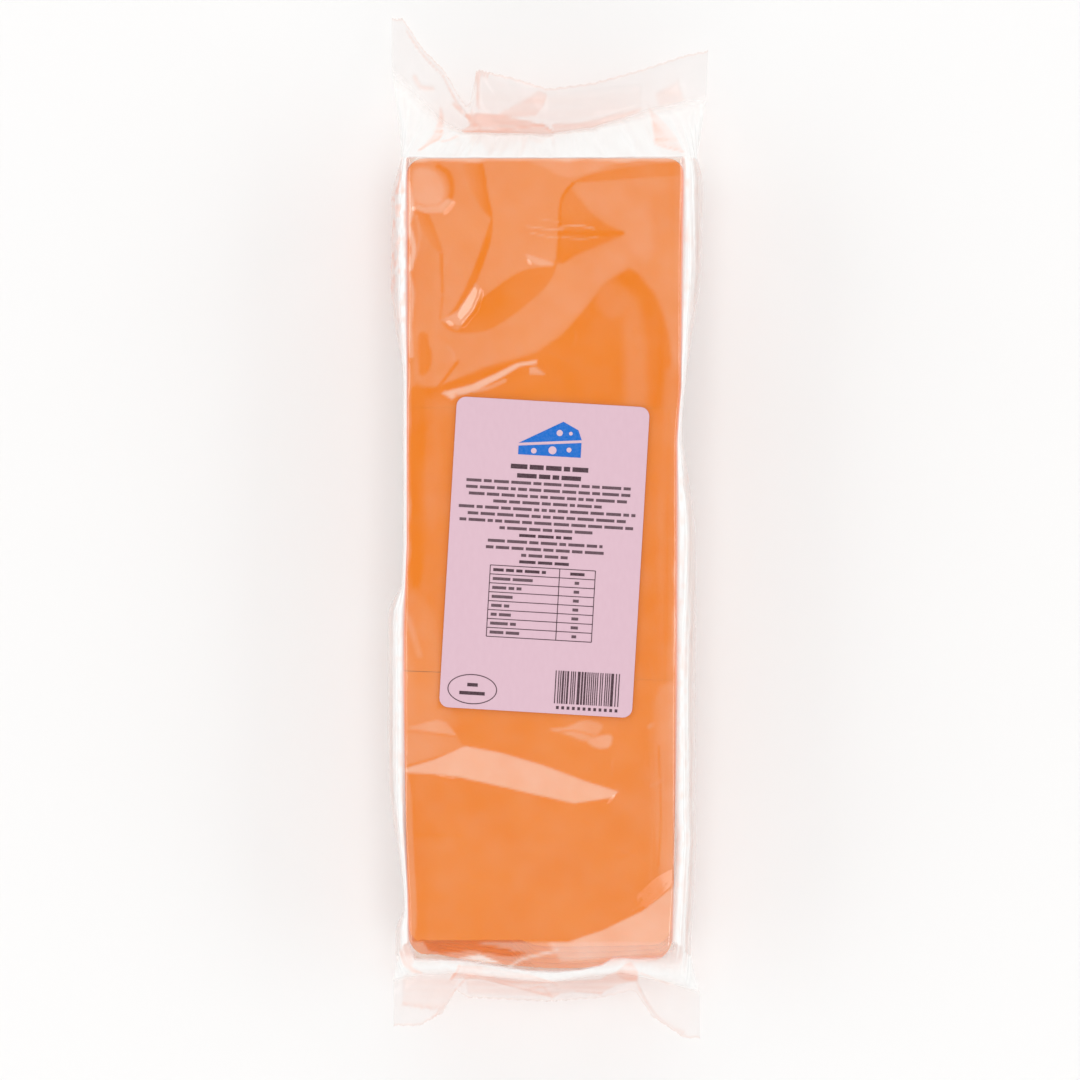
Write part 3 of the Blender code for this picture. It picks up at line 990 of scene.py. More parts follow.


# The levels below are painted reflection on the film: high levels paint highlights, low levels paint darker
# lines and deeper colour.
UPPER_SHEET_AREAS: tuple[Patch | Crease, ...] = (
    # the film beside and below the label, a little paler than where it is drawn tight, from painted reflection
    Patch(((-47, -58), (46, -58), (46, -134), (-47, -134)), level=0.5, soft=6.0, curved=False),
    Patch(((-47, 42), (-30, 42), (-36, -60), (-47, -60)), level=0.45, soft=4.0, curved=False),
    Patch(((33, 38), (46, 38), (46, -60), (27, -60)), level=0.4, soft=4.0, curved=False),
    # the slack film over the top stack
    Patch(((-47, 122), (46, 122), (46, 86.1), (29.9, 81.9), (26.1, 84.2), (20.3, 81.9), (13.8, 73.9),
           (4.2, 62.6), (-3.9, 57.2), (-10.3, 55.2), (-21.6, 52), (-35.4, 45.9), (-47, 46)), level=1.0,
           soft=1.8, curved=False),
    Patch(((-24.8, 61), (-15.1, 68.1), (-5.5, 73.9), (2.9, 86.1), (17.1, 90), (25.4, 86.1), (13.8, 75.2),
           (3.5, 63.6), (-10.3, 57.2), (-21.6, 53.3)), level=1.0, far=1.25, toward=-40.0, soft=3.0),
    Patch(((10, 109.3), (17.1, 108.7), (29.9, 106.1), (34, 93.2), (31.6, 86.1), (25.1, 93.2),
           (17.1, 102.2)), level=1.2, far=1.5, toward=-30.0, soft=5.0),
    Patch(((-6.1, 120), (29.9, 121), (18.7, 117), (9.7, 113.8), (4.2, 113.8), (-0.6, 116.4)), level=1.6,
           soft=1.6),
    # painted dark lens under the top edge, and the painted dark line below it
    Patch(((8.4, 111.9), (13.8, 114.5), (23.5, 116.4), (36.4, 118.3), (43.1, 118.7), (43.1, 114.5),
           (29.9, 113.2), (17.1, 112.2)), level=0.25, far=0.6, toward=0.0, soft=1.0),
    # the tight wedge beside the upright crease
    Patch(((6.1, 110.3), (3.9, 101.3), (3.2, 86.1), (9, 88.4), (17.1, 91.8), (24.2, 95.2), (18.7, 98.4),
           (13.8, 102.2), (10, 106.7)), level=0.1, far=0.5, toward=60.0, soft=1.6),
    Crease(((8.1, 111.6), (4.2, 106.1), (3.5, 94.8), (2.9, 86.1)), width=1.0, level=0.0, soft=0.9),
    Crease(((4.2, 95.8), (13.8, 95.3), (23.8, 95.5)), width=1.2, level=0.0, soft=1.2),
    # the crease that runs down from the top edge, with its shaded left side
    Patch(((-27.5, 119), (-21.6, 119), (-19.3, 107.7), (-18, 100.9), (-20.6, 102.2), (-25.5, 110.3)),
           level=0.8, far=0.0, toward=12.0, soft=0.9),
    Patch(((-18, 100.9), (-18.4, 93.9), (-20.7, 86.1), (-24.4, 77.1), (-29.4, 69.4), (-34, 67.3),
           (-31, 70.5), (-27, 77.5), (-23, 87), (-20.6, 94)), level=0.3, far=0.0, toward=-20.0, soft=1.0),
    # where the top stack's film is drawn tight
    Patch(((-34.5, 67.1), (-29.6, 64.2), (-27.4, 66.8), (-22.2, 73.6), (-15.1, 79.4), (-8.7, 83.2),
           (-2.3, 84.8), (2.9, 86.5), (0, 79.1), (-6.8, 72.6), (-15.1, 66.5), (-21.6, 63.6), (-30.6, 63.6)),
           level=0.0, far=0.35, toward=-50.0, soft=1.2),
    # the arch's right leg, the paler band inside it and the strip along the right edge, all painted reflection
    Patch(((24.8, 72), (29.9, 70), (32, 38), (25.4, 38)), level=0.6, far=0.8, toward=-90.0, soft=4.5),
    Patch(((17.1, 78.5), (22.9, 79.8), (27.4, 72.7), (20.9, 68.1), (15.4, 71.3)), level=0.55, soft=3.0),
    Patch(((29.9, 83.6), (46, 88.4), (46, 41.1), (40.9, 41.1), (39.4, 59.4), (35.4, 73.9)), level=0.95,
           far=1.2, toward=0.0, soft=2.4),
    # the painted dark line over the label's left shoulder, and the strip under it
    Crease(((-36, 45), (-28, 47.8), (-18.4, 50.6), (-8.4, 54.2)), width=1.8, level=0.0, soft=1.2),
    Crease(((-29.3, 53.9), (-32.5, 49.7), (-35.4, 45.9)), width=1.1, level=0.1, soft=1.0),
    Patch(((-31.2, 41.7), (-15.1, 46.6), (-2.3, 50.4), (-5.5, 44.3), (-24.8, 40.3)), level=0.3, far=0.1,
           toward=-90.0, soft=3.0),
    Patch(((-6.1, 52.2), (-4.2, 52.5), (-1, 49.9), (-6.1, 50.1)), level=1.9, soft=0.8, curved=False),
    Crease(((-24, 44.6), (-19, 45.8), (-14, 48)), width=1.2, level=1.5, soft=0.8),
    # small folds along the left edge, painted dark
    Patch(((-42.8, 104.2), (-39.6, 103.5), (-35.1, 93.2), (-34.5, 89.4), (-37.7, 91.3), (-41.5, 97.7)),
           level=0.8, far=0.15, toward=25.0, soft=1.0),
    Crease(((-34.5, 88.7), (-34.1, 76.5)), width=1.0, level=0.2, soft=0.9),
    Crease(((-34.1, 75), (-34.8, 68)), width=0.7, level=0.4, soft=0.9),
    Patch(((-47, 92), (-43.4, 92), (-43, 72), (-43.6, 48), (-47, 48)), level=0.7, soft=1.5),
    Patch(((-41.9, 62.6), (-38.3, 62), (-37.7, 53), (-41.5, 50)), level=0.25, soft=1.6),
    Patch(((-38.3, 62.3), (-32.2, 59.4), (-30.3, 54.3), (-34.5, 53.9), (-37.7, 57.8)), level=1.05, far=1.25,
           toward=0.0, soft=1.2),
    Crease(((-32.5, 59), (-30.6, 56.8), (-30.2, 54.4)), width=0.8, level=1.6, soft=0.7, strength=0.7),
    # painted highlights on crumples along the left edge
    Crease(((-45.8, 112), (-44.2, 105), (-45.4, 98)), width=1.8, level=4.0, soft=1.0, strength=0.9),
    Crease(((-45, 97), (-43.4, 90.5), (-44.6, 84)), width=1.6, level=3.8, soft=1.0, strength=0.9),
    Crease(((-45.6, 84), (-43.8, 76), (-44.6, 66), (-44.2, 56)), width=1.4, level=3.0, soft=1.0,
            strength=0.8),
    Crease(((-42.6, 101), (-41.4, 95), (-42.6, 88)), width=0.7, level=1.9, soft=0.7, strength=0.7),
    # the dimple near the top left corner, with a painted highlight and a painted dark crescent
    Patch(((-43.8, 115.1), (-39.3, 116.4), (-34.9, 113.8), (-33.4, 109.3), (-34.5, 105.4), (-38.3, 104.3),
           (-43.5, 106.1)), level=2.6, soft=2.4, strength=0.8),
    Crease(((-35.5, 117), (-32.2, 114.6), (-31, 110), (-31.8, 106)), width=1.7, level=0.25, soft=1.2),
    # painted glints across the upright crease
    Crease(((-7.1, 97.7), (-0.6, 96.8), (4.8, 96.4)), width=0.5, level=3.0, soft=0.6, strength=0.6),
    Crease(((-5.5, 95.5), (0.3, 94.2), (3.5, 93.9)), width=0.4, level=3.0, soft=0.6, strength=0.6),
    Crease(((3.6, 97.4), (9.8, 97.9), (14.6, 96.9)), width=0.5, level=3.0, soft=0.6, strength=0.6),
    Crease(((4.4, 94.2), (10.8, 93.6), (15.8, 94.4)), width=0.4, level=2.4, soft=0.6, strength=0.5),
    Crease(((-1.6, 99.8), (3.4, 99.2)), width=0.4, level=2.4, soft=0.6, strength=0.5),
    # the left side beside and below the label
    Patch(((-44.8, 40.1), (-39.6, 41.1), (-39.6, -9.8), (-44.8, -14.3)), level=0.1, soft=2.5),
    Patch(((-39, 30.8), (-34.5, 30.8), (-35.7, 3.1), (-39, 3.1)), level=0.6, soft=3.0),
    Patch(((-48, -22.7), (-37, -26.6), (-34, -51.7), (-30, -63), (-48, -64)), level=0.75, far=0.95,
           toward=-90.0, soft=4.0),
    Crease(((-47.6, -22.7), (-44, -32.4), (-41.5, -40.4)), width=1.8, level=1.7, soft=1.4, strength=0.8),
    # the right side beside the label
    Patch(((35.7, 40.4), (45, 40.4), (45, -61.3), (36.4, -61.3)), level=0.5, far=1.0, toward=0.0, soft=3.5),
    Crease(((38.9, 38), (38.3, -8), (37.2, -60)), width=0.7, level=0.3, soft=1.2, strength=0.6),
    # the painted lighter strip along the low stack's left edge
    Patch(((-47.5, -82), (-44.6, -82), (-43.4, -104), (-42.6, -128), (-47.5, -132.4)), level=1.3, soft=1.0),
    # below the label: painted highlights and painted dark lines
    Patch(((-47, -65.5), (-29.6, -66.8), (-27, -70.2), (-37.7, -73.6), (-47, -76.2)), level=1.35, far=1.0,
           toward=0.0, soft=0.9, curved=False),
    Patch(((-45.8, -63.9), (-36.1, -61.3), (-32.8, -62), (-29.6, -66.4)), level=2.0, soft=0.9,
           curved=False),
    Patch(((0.6, -64.4), (6, -63.6), (11, -61.6), (15.6, -62), (17.4, -63.8), (13, -68.2), (7, -66.4)),
           level=2.2, far=1.4, toward=0.0, soft=1.2),
    Crease(((2, -65.6), (8, -64.8), (15, -66.6)), width=0.8, level=0.6, soft=0.7, strength=0.7),
    Patch(((12.6, -68.2), (16.1, -66.6), (20.3, -66.4), (19.6, -70), (15.6, -70.4)), level=2.2, soft=1.2),
    Crease(((32.6, -63.6), (38, -60.2), (41.6, -57.6)), width=1.3, level=1.6, soft=1.0),
    Patch(((33.8, -56), (45, -56), (45, -112), (36, -112)), level=0.8, far=2.0, toward=0.0, soft=2.5),
    Crease(((32.8, -64), (33.4, -88), (33, -112.4)), width=0.8, level=0.75, soft=1.0, strength=0.7),
    Crease(((35.6, -70), (36.2, -92), (35.4, -108.4)), width=0.7, level=0.0, soft=1.0, strength=0.7),
    Crease(((33, -82.6), (41, -78.6)), width=0.8, level=1.3, soft=0.9, strength=0.6),
    Crease(((-42.5, -98.4), (-28, -98.6)), width=0.5, level=0.0, soft=0.8, strength=0.5),
)

# Each fold has a real facet, and its level paints a highlight on it.
UPPER_SHEET_FOLDS: tuple[Fold, ...] = (
    # the long wedge below the label, with a painted highlight
    Fold(
        foot=((-47.4, -77.3), (-37.0, -74.3), (-26.8, -69.8), (-15.1, -72.0), (-2.3, -75.8), (12.2, -81.2),
              (22.4, -84.4)),
        crest=((-47.4, -78.2), (-37.6, -78.7), (-29.2, -79.6), (-18.4, -82.0), (-6.0, -84.9), (8.4, -88.2),
               (21.0, -86.2)),
        slope=5.2,
        drop=5.0,
        level=3.2,
    ),
    # the lifted film at the low right corner
    Fold(
        foot=((-12.6, -141.2), (4.0, -141.0), (20.0, -139.5), (34.8, -136.8), (42.4, -134.0)),
        crest=((-11.2, -140.0), (4.0, -133.6), (17.7, -129.0), (30.5, -122.8), (42.4, -113.4)),
        slope=3.4,
        drop=7.0,
        level=3.2,
    ),
    # the curved facet between the two painted dark curves of the top stack
    Fold(
        foot=((-34.2, 67.6), (-29.4, 70.2), (-25.9, 75.4), (-23.4, 79.4)),
        crest=((-32.0, 66.1), (-28.2, 65.8), (-23.9, 71.0), (-21.8, 77.0)),
        slope=7.0,
        drop=1.2,
        level=2.0,
    ),
    # the small facet at the top of the tight crescent
    Fold(
        foot=((-7.4, 88.8), (-2.9, 87.4), (1.9, 85.8)),
        crest=((-6.1, 86.1), (-2.4, 84.9), (1.2, 84.9)),
        slope=7.0,
        drop=1.2,
        level=2.2,
    ),
    # the strip over the label's left shoulder, painted pale
    Fold(
        foot=((-34.4, 44.1), (-24.8, 46.6), (-16.7, 50.3), (-10.3, 53.5), (-3.9, 54.5)),
        crest=((-31.2, 42.0), (-23.0, 45.0), (-15.3, 48.9), (-9.1, 52.6), (-3.9, 53.4)),
        slope=7.0,
        drop=1.2,
        level=3.6,
    ),
    # the rim of the small dimple near the top left corner
    Fold(
        foot=((-43.1, 104.9), (-39.6, 103.9), (-35.1, 104.4), (-32.5, 106.7)),
        crest=((-43.1, 103.2), (-39.3, 101.9), (-34.1, 102.0), (-30.6, 105.7)),
        slope=9.0,
        drop=1.0,
        level=2.3,
    ),
)


@dataclass(frozen=True)
class LabelPlace:
    """Where the label lies on the film, so that the film is flat under it."""

    centre: Pair = (-1.3, -8.9)
    width: float = 62.2
    height: float = 100.2
    turn: float = -3.35
    top: float = 41.55

    def to_plan(self, points: Array) -> Array:
        """Turns places on the label (x right, y up from its middle) into places in the plan.

        Args:
            points: the places, as rows.

        Returns:
            The same places in the plan.
        """
        angle = math.radians(self.turn)
        turned = np.array([[math.cos(angle), math.sin(angle)], [-math.sin(angle), math.cos(angle)]])
        return np.asarray(points, float) @ turned + np.array(self.centre)

    def cover(self, x: Array, y: Array, margin: float, soft: float) -> Array:
        """How far each point lies under the label, from 0 to 1.

        Args:
            x: the points' x.
            y: the points' y.
            margin: how far past the label's edge it still counts.
            soft: the width of the change.

        Returns:
            The shares.
        """
        half_x = self.width / 2.0 + margin
        half_y = self.height / 2.0 + margin
        signs = np.array([(1.0, 1.0), (-1.0, 1.0), (-1.0, -1.0), (1.0, -1.0)])
        corners = self.to_plan(signs * (half_x, half_y))
        return smooth_step(inside_depth(x, y, corners) / soft + 0.5)


@dataclass(frozen=True)
class Relief:
    """How far the upper sheet stands off the cheese, and the gap level, which sets how pale it looks: partly
    the gap, partly painted reflection, with painted highlights where it is high and painted darker lines where
    it is low.
    """

    areas: tuple[Patch | Crease, ...]
    folds: tuple[Fold, ...]
    label: LabelPlace
    block: Block
    base_level: float = 0.16
    level_lift: float = 0.35
    most_lifting_level: float = 1.3
    lift_blur: float = 4.0
    waves: int = 7
    wave_height: float = 0.05
    wave_lengths: Pair = (14.0, 40.0)
    least_wave: float = 0.3
    cloud_size: float = 8.0
    cloud_level: float = 0.14
    streak_width: float = 2.0
    streak_length: float = 46.0
    streak_level: float = 0.22
    streak_reach: float = 14.0
    crinkles: int = 34
    crinkle_tilt: float = 0.5
    crinkle_half: Pair = (1.2, 4.5)
    crinkle_bow: float = 0.6
    crinkle_bend: float = 0.3
    crinkle_width: Pair = (0.2, 0.5)
    crinkle_levels: Numbers = (0.0, 0.9, 1.4)
    crinkle_strength: Pair = (0.2, 0.5)
    side_level: float = 1.9
    top_level: float = 4.0
    edge_width: float = 2.0
    edge_unevenness: float = 0.7
    end_unevenness: float = 0.5
    fold_height: float = 0.9
    label_level: float = 0.3
    label_rim: Pair = (0.5, 2.0)
    label_flat: Pair = (4.0, 8.0)
    seed: int = 11

    def over(self, x: Array, y: Array) -> tuple[Array, Array]:
        """Works out the relief over a grid of points.

        Args:
            x: the points' x.
            y: the points' y.

        Returns:
            The heights, and the gap levels.
        """
        level = np.full(x.shape, self.base_level)
        for area in self.areas + self.small_crinkles():
            level += (area.level_at(x, y) - level) * area.share(x, y)
        level = self.clouded(level, x, y)
        lift = self.level_lift * np.clip(level, 0.0, self.most_lifting_level)
        lift += self.waviness(x, y) * np.clip(level, self.least_wave, 1.0)
        lift = soften(soften(lift, self.lift_blur, 0), self.lift_blur, 1)
        for fold in self.folds:
            share = fold.share(x, y)
            level += (fold.level - level) * share
            lift += np.minimum(fold.height(x, y), self.fold_height)
        level = np.maximum(level, self.near_edge(x, y))
        level += (self.label_level - level) * self.label.cover(x, y, *self.label_rim)
        lift *= 1.0 - self.label.cover(x, y, *self.label_flat)
        return np.maximum(lift, 0.0), np.maximum(level, 0.0)

    def near_edge(self, x: Array, y: Array) -> Array:
        """The painted highlight levels along the block's sides and along its top end.

        Args:
            x: the points' x.
            y: the points' y.

        Returns:
            The levels, 0 away from the edges.
        """
        beside = np.minimum(x - self.block.left(y), self.block.right(y) - x) - self.block.shoulder
        beside += self.edge_unevenness * cell_noise(x, y, 2.5, 7.0, self.seed + 5)
        inset = self.block.top_end - y
        inset += self.end_unevenness * cell_noise(x, y, 6.0, 6.0, self.seed + 4)
        sides = self.side_level * (1.0 - smooth_step(beside / self.edge_width))
        return np.maximum(sides, self.top_level * (1.0 - smooth_step(inset / self.edge_width)))

    def clouded(self, level: Array, x: Array, y: Array) -> Array:
        """Adds soft clouds of painted reflection all over, and long painted streaks near the sides.

        Args:
            level: the levels so far.
            x: the points' x.
            y: the points' y.

        Returns:
            The levels with both added.
        """
        clouds = cell_noise(x, y, self.cloud_size, self.cloud_size, self.seed)
        clouds += 0.5 * cell_noise(x, y, self.cloud_size * 0.4, self.cloud_size * 0.4, self.seed + 1)
        streaks = cell_noise(x, y, self.streak_width, self.streak_length, self.seed + 2)
        inset = np.minimum(x - self.block.left(y), self.block.right(y) - x)
        beside = 1.0 - smooth_step(inset / self.streak_reach)
        return level + self.cloud_level * clouds + self.streak_level * streaks * beside

    def small_crinkles(self) -> tuple[Crease, ...]:
        """Short faint painted glints and painted dark lines scattered over the film.

        Returns:
            The lines.
        """
        draw = np.random.default_rng(self.seed + 3)
        made = []
        for _ in range(self.crinkles):
            x = draw.uniform(self.block.left_edge[0][1], self.block.right_edge[0][1])
            y = draw.uniform(self.block.low_end, self.block.top_end)
            tilt = draw.uniform(-self.crinkle_tilt, self.crinkle_tilt)
            angle = tilt + (math.pi / 2.0 if draw.random() < 0.5 else 0.0)
            half = draw.uniform(*self.crinkle_half)
            bow = draw.uniform(-self.crinkle_bow, self.crinkle_bow)
            dx, dy = half * math.cos(angle), half * math.sin(angle)
            bend = self.crinkle_bend
            line = ((x - dx, y - dy), (x - dy * bow * bend, y + dx * bow * bend), (x + dx, y + dy))
            width = draw.uniform(*self.crinkle_width)
            level = draw.choice(self.crinkle_levels)
            made.append(Crease(line, width, level, soft=0.7, strength=draw.uniform(*self.crinkle_strength)))
        return tuple(made)

    def waviness(self, x: Array, y: Array) -> Array:
        """Slight waves of slack film.

        Args:
            x: the points' x.
            y: the points' y.

        Returns:
            The waves' heights.
        """
        draw = np.random.default_rng(self.seed)
        total = np.zeros(x.shape)
        for _ in range(self.waves):
            angle = draw.uniform(0.0, math.pi)
            length = draw.uniform(*self.wave_lengths)
            along = x * math.cos(angle) + y * math.sin(angle)
            total += np.sin(2.0 * math.pi * along / length + draw.uniform(0.0, 6.28))
        return self.wave_height * total


# The film


@dataclass(frozen=True)
class Swell:
    """A stretch of one side where the slack film stands further out."""

    start: float
    full_from: float
    full_to: float
    end: float
    depth: float

    def at(self, y: Array) -> Array:
        """How far it stands out at y.

        Args:
            y: places along the bag.

        Returns:
            The reach at each place.
        """
        grown = smooth_step((self.start - y) / (self.start - self.full_from))
        faded = smooth_step((self.full_to - y) / (self.full_to - self.end))
        return self.depth * grown * (1.0 - faded)


@dataclass(frozen=True)
class Seal:
    """One flat end seal: the line it starts at and its cut edge, both by stations (x, y, z).

    It also says how far the film before it swells into a pillow, where its folded bands and those before it
    lie with their painted salmon reflection of the cheese, and where the film is clearer or whiter, with
    painted reflection that lightens the shaded slices.
    """

    end: End
    inner: Stations
    cut: Stations
    bulge: float = 0.0
    slant_milk: float = 1.5
    band_strength: float = 1.1
    bands: tuple[Patch | Crease, ...] = ()
    slant_bands: tuple[Patch | Crease, ...] = ()
    hazes: tuple[Patch | Crease, ...] = ()

    def line(self, stations: Stations, shares: Array) -> Array:
        """Points on a line of stations, by their share of the way across.

        Args:
            stations: the line's stations.
            shares: shares from the left to the right.

        Returns:
            The points, as rows.
        """
        xs, ys, zs = (np.array(column) for column in zip(*stations))
        x = xs[0] + (xs[-1] - xs[0]) * shares
        return np.stack([x, np.interp(x, xs, ys), np.interp(x, xs, zs)], axis=1)


# In this table and the two after it, each band's level paints the cheese's orange light reflected in the folded
# film as a salmon tint, and raises the band.
TOP_BANDS: tuple[Patch | Crease, ...] = (
    # the flap
    Patch(((-22.5, 148), (-0.6, 140.9), (20.3, 143.5), (29.9, 144.7), (29.9, 137.3), (4.2, 132.2),
           (-22.2, 135.7)), level=0.08, soft=1.0, curved=False),
    # the fan of folds at the seal's foot, painted salmon, its painted dark lines, and the triangle above it
    Patch(((-27, 135.1), (-16.1, 134.8), (-10.3, 133.5), (-2.3, 131.5), (-0.3, 130.9), (1.3, 128.6),
           (-2.3, 128.3), (-21.6, 128.3), (-29.6, 129), (-25.4, 131.2)), level=0.6, far=0.5, toward=0.0,
           soft=0.6, curved=False),
    Crease(((-27, 134.8), (-24.5, 132.2), (-21.6, 129.6)), width=0.5, level=1.0, soft=0.5),
    Crease(((-29.3, 129), (-21.6, 129.3), (-11.9, 130.2), (-1.9, 131.5)), width=0.7, level=1.0, soft=0.6),
    Crease(((-29.6, 128.3), (-18.4, 128), (-2.3, 128)), width=0.5, level=0.7, soft=0.6),
    Crease(((-2.6, 131.5), (-0.3, 130.2), (1.6, 128.6)), width=0.5, level=0.9, soft=0.5),
    Patch(((-2.9, 142.5), (-0.3, 141.5), (-1.6, 137.3), (-4.2, 134.4), (-10.3, 133.8), (-16.1, 135.1),
           (-10.3, 138)), level=0.36, soft=0.7, curved=False),
    Patch(((1.3, 131.5), (10.6, 132.2), (18.7, 134.1), (30.3, 137), (29.9, 136), (23.5, 132.5),
           (17.1, 130.9), (1.6, 128.6)), level=0.38, far=0.22, toward=0.0, soft=0.7, curved=False),
    Crease(((1.6, 128.6), (10.6, 129.6), (18.7, 131.2), (23.5, 132.8)), width=0.5, level=0.5, soft=0.5),
    # the flap's folded left edge and the ears' faint lines
    Patch(((-23.8, 148.9), (-22.2, 148.6), (-22.5, 141.5), (-22.5, 137), (-23.5, 137), (-23.5, 143.1)),
           level=0.4, soft=0.4, curved=False),
    Patch(((-23.8, 148.9), (-19.3, 147.6), (-19.3, 146.7), (-23.8, 147.6)), level=0.4, soft=0.4,
           curved=False),
    Crease(((-46, 162.1), (-41.5, 155.4), (-37, 150.5), (-34.5, 148), (-32.5, 144.1), (-29.6, 138.6),
            (-26.7, 135.1)), width=0.6, level=0.4, soft=0.6),
    Crease(((-43.5, 147.3), (-41.5, 144.1), (-37.7, 143.5)), width=1.4, level=0.3, soft=1.2),
    Crease(((-30.6, 138.3), (-28, 135.7)), width=1.2, level=0.45, soft=0.9),
    Patch(((34.8, 141.5), (42.2, 146), (44.8, 137.3), (36.4, 136.4)), level=0.2, soft=1.5, curved=False),
)

TOP_SLANT_BANDS: tuple[Patch | Crease, ...] = (
    # the triangle at the right and the curved fold at the left
    Patch(((32.5, 137.3), (33.8, 131.2), (34.5, 124.5), (36.7, 123.2), (43.5, 121.6), (41.5, 126.4),
           (38.6, 130.6), (35.1, 134.4)), level=0.3, soft=0.8, curved=False),
    Patch(((33.8, 132.5), (34.5, 124.5), (37.7, 123.5), (39, 126.1), (36.4, 129.9)), level=0.75, far=0.4,
           toward=0.0, soft=1.2, curved=False),
    Crease(((35.1, 124.5), (39, 123.2), (43.5, 121.9)), width=0.5, level=0.6, soft=0.6),
    Patch(((-35.1, 137.3), (-34.1, 134.4), (-34.5, 128.6), (-35.7, 126.1), (-39, 124.1), (-41.9, 122.2),
           (-39, 125.4), (-37, 128.6), (-35.7, 132.8)), level=0.45, soft=0.9),
    Crease(((-34.5, 129.3), (-35.4, 126.7), (-38.3, 124.8), (-41.5, 122.5)), width=0.7, level=0.75,
            soft=0.6),
    Crease(((-29.6, 127.7), (-32.2, 126.1), (-34.5, 125.7)), width=0.8, level=0.35, soft=0.7),
)

LOW_BANDS: tuple[Patch | Crease, ...] = (
    # the flat film before the cut edge
    Patch(((-26.7, -146.7), (-21.6, -146.7), (-8.7, -149.9), (0.3, -152.1), (-15.1, -151.5),
           (-26.1, -151.2)), level=0.2, soft=0.6, curved=False),
    # the folds along the seal, painted salmon, and their painted dark lines
    Patch(((-29, -140.6), (-21.6, -140.9), (-14.2, -142.5), (-5.5, -143.8), (-1, -145.7), (2.9, -147),
           (17.1, -146.3), (24.2, -141.2), (26.7, -139.3), (29, -143.1), (29, -146.7), (26.1, -147.3),
           (21.9, -148.3), (17.1, -150.9), (10.6, -150.2), (4.2, -150.9), (1.6, -152.5), (-2.3, -151.5),
           (-7.1, -149.9), (-15.1, -148), (-22.2, -146), (-27, -146), (-31.2, -146.3)), level=0.36,
           soft=0.7, curved=False),
    Patch(((-28.7, -140.9), (-21.6, -140.9), (-20.9, -145.4), (-25.4, -146), (-28, -143.5)), level=0.55,
           soft=1.2, curved=False),
    Crease(((-28.7, -140.9), (-29.9, -143.8), (-31.6, -146.3)), width=0.8, level=0.75, soft=0.6),
    Crease(((-27, -146), (-22.2, -146), (-15.1, -147.6), (-7.1, -149.9), (0.6, -151.8)), width=0.6,
            level=0.65, soft=0.6),
    Crease(((-21.6, -145.1), (-13.5, -147), (-5.5, -147.6), (0.6, -147)), width=0.6, level=0.7, soft=0.6),
    Crease(((-13.5, -144.4), (-5.5, -144.7), (-0.6, -146.3), (2.9, -148.3)), width=0.7, level=0.6,
            soft=0.7),
    Crease(((-6.1, -149.6), (-1.9, -148.9), (1, -152.1)), width=0.7, level=0.65, soft=0.6),
    Crease(((9, -150.2), (17.4, -150.9)), width=0.5, level=0.65, soft=0.5),
    Patch(((23.8, -141.2), (26.4, -139.9), (28.7, -142.8), (28.7, -146.7), (24.8, -146.3), (22.2, -144.4)),
           level=0.62, soft=0.9),
    # the left corner's curl, the crumpled bulge above it and the ears
    Crease(((-47.7, -134.8), (-46.4, -139.3), (-44.1, -142.2), (-41.5, -143.8)), width=1.5, level=0.55,
            soft=1.2),
    Patch(((-48.3, -129), (-46, -127.4), (-44.8, -133.8), (-43.5, -139.3), (-46, -141.2), (-48, -135.4)),
           level=0.35, soft=1.5),
    Patch(((-51.2, -132.2), (-48.6, -129.6), (-48, -134.8), (-48.6, -139.6), (-50.6, -138.6)), level=0.3,
           soft=1.2),
    Crease(((-47.3, -154.4), (-40.9, -155.4), (-34.8, -156)), width=0.8, level=0.6, soft=0.6),
    Patch(((-47.3, -145.1), (-29.6, -146.7), (-34.8, -156), (-47.3, -154.4)), level=0.18, soft=1.0,
           curved=False),
    Crease(((-27.4, -146.7), (-31.2, -150.9), (-34.8, -156), (-37.7, -158.9)), width=0.6, level=0.35,
            soft=0.6),
    Crease(((28.7, -147), (31.6, -153.1), (36.4, -159.2), (44.4, -164.1)), width=0.6, level=0.3, soft=0.6),
    Crease(((29.9, -143.5), (34.8, -145.7), (39, -147.6)), width=0.8, level=0.3, soft=0.8),
)

LOW_HAZES: tuple[Patch | Crease, ...] = (
    # clearer film over the slid-out slices with a painted reflection that lightens their shade, clearest where
    # the top slices end
    Patch(((-44.8, -131.5), (40.9, -131.5), (40.2, -135.1), (36.4, -137.7), (29.9, -138.3), (20.9, -138),
           (17.1, -140.6), (10.6, -142.2), (2.6, -142.8), (-5.5, -142.5), (-12.6, -141.5), (-28, -138.9),
           (-43.1, -138.6)), level=0.15, soft=0.8, curved=False),
    Patch(((-0.6, -132.2), (40.9, -129), (40.2, -135.1), (36.4, -137), (4.2, -139.3)), level=0.28, soft=2.0,
           curved=False),
    Patch(((-40.6, -132.5), (-32.8, -132.5), (-24.8, -132.8), (-16.1, -134.4), (-5.8, -137),
           (-13.5, -137.7), (-24.8, -135.7), (-34.5, -136.7), (-38.6, -135.7)), level=0.03, soft=0.7,
           curved=False),
    Crease(((-12.6, -141.2), (-9.3, -138.9), (-5.5, -137.7), (2.9, -135.7)), width=0.8, level=0.4,
            soft=0.9),
    Patch(((-28.7, -138), (-22.2, -137), (-15.1, -139.9), (-22.2, -139.3)), level=0.6, soft=0.9,
           curved=False),
)


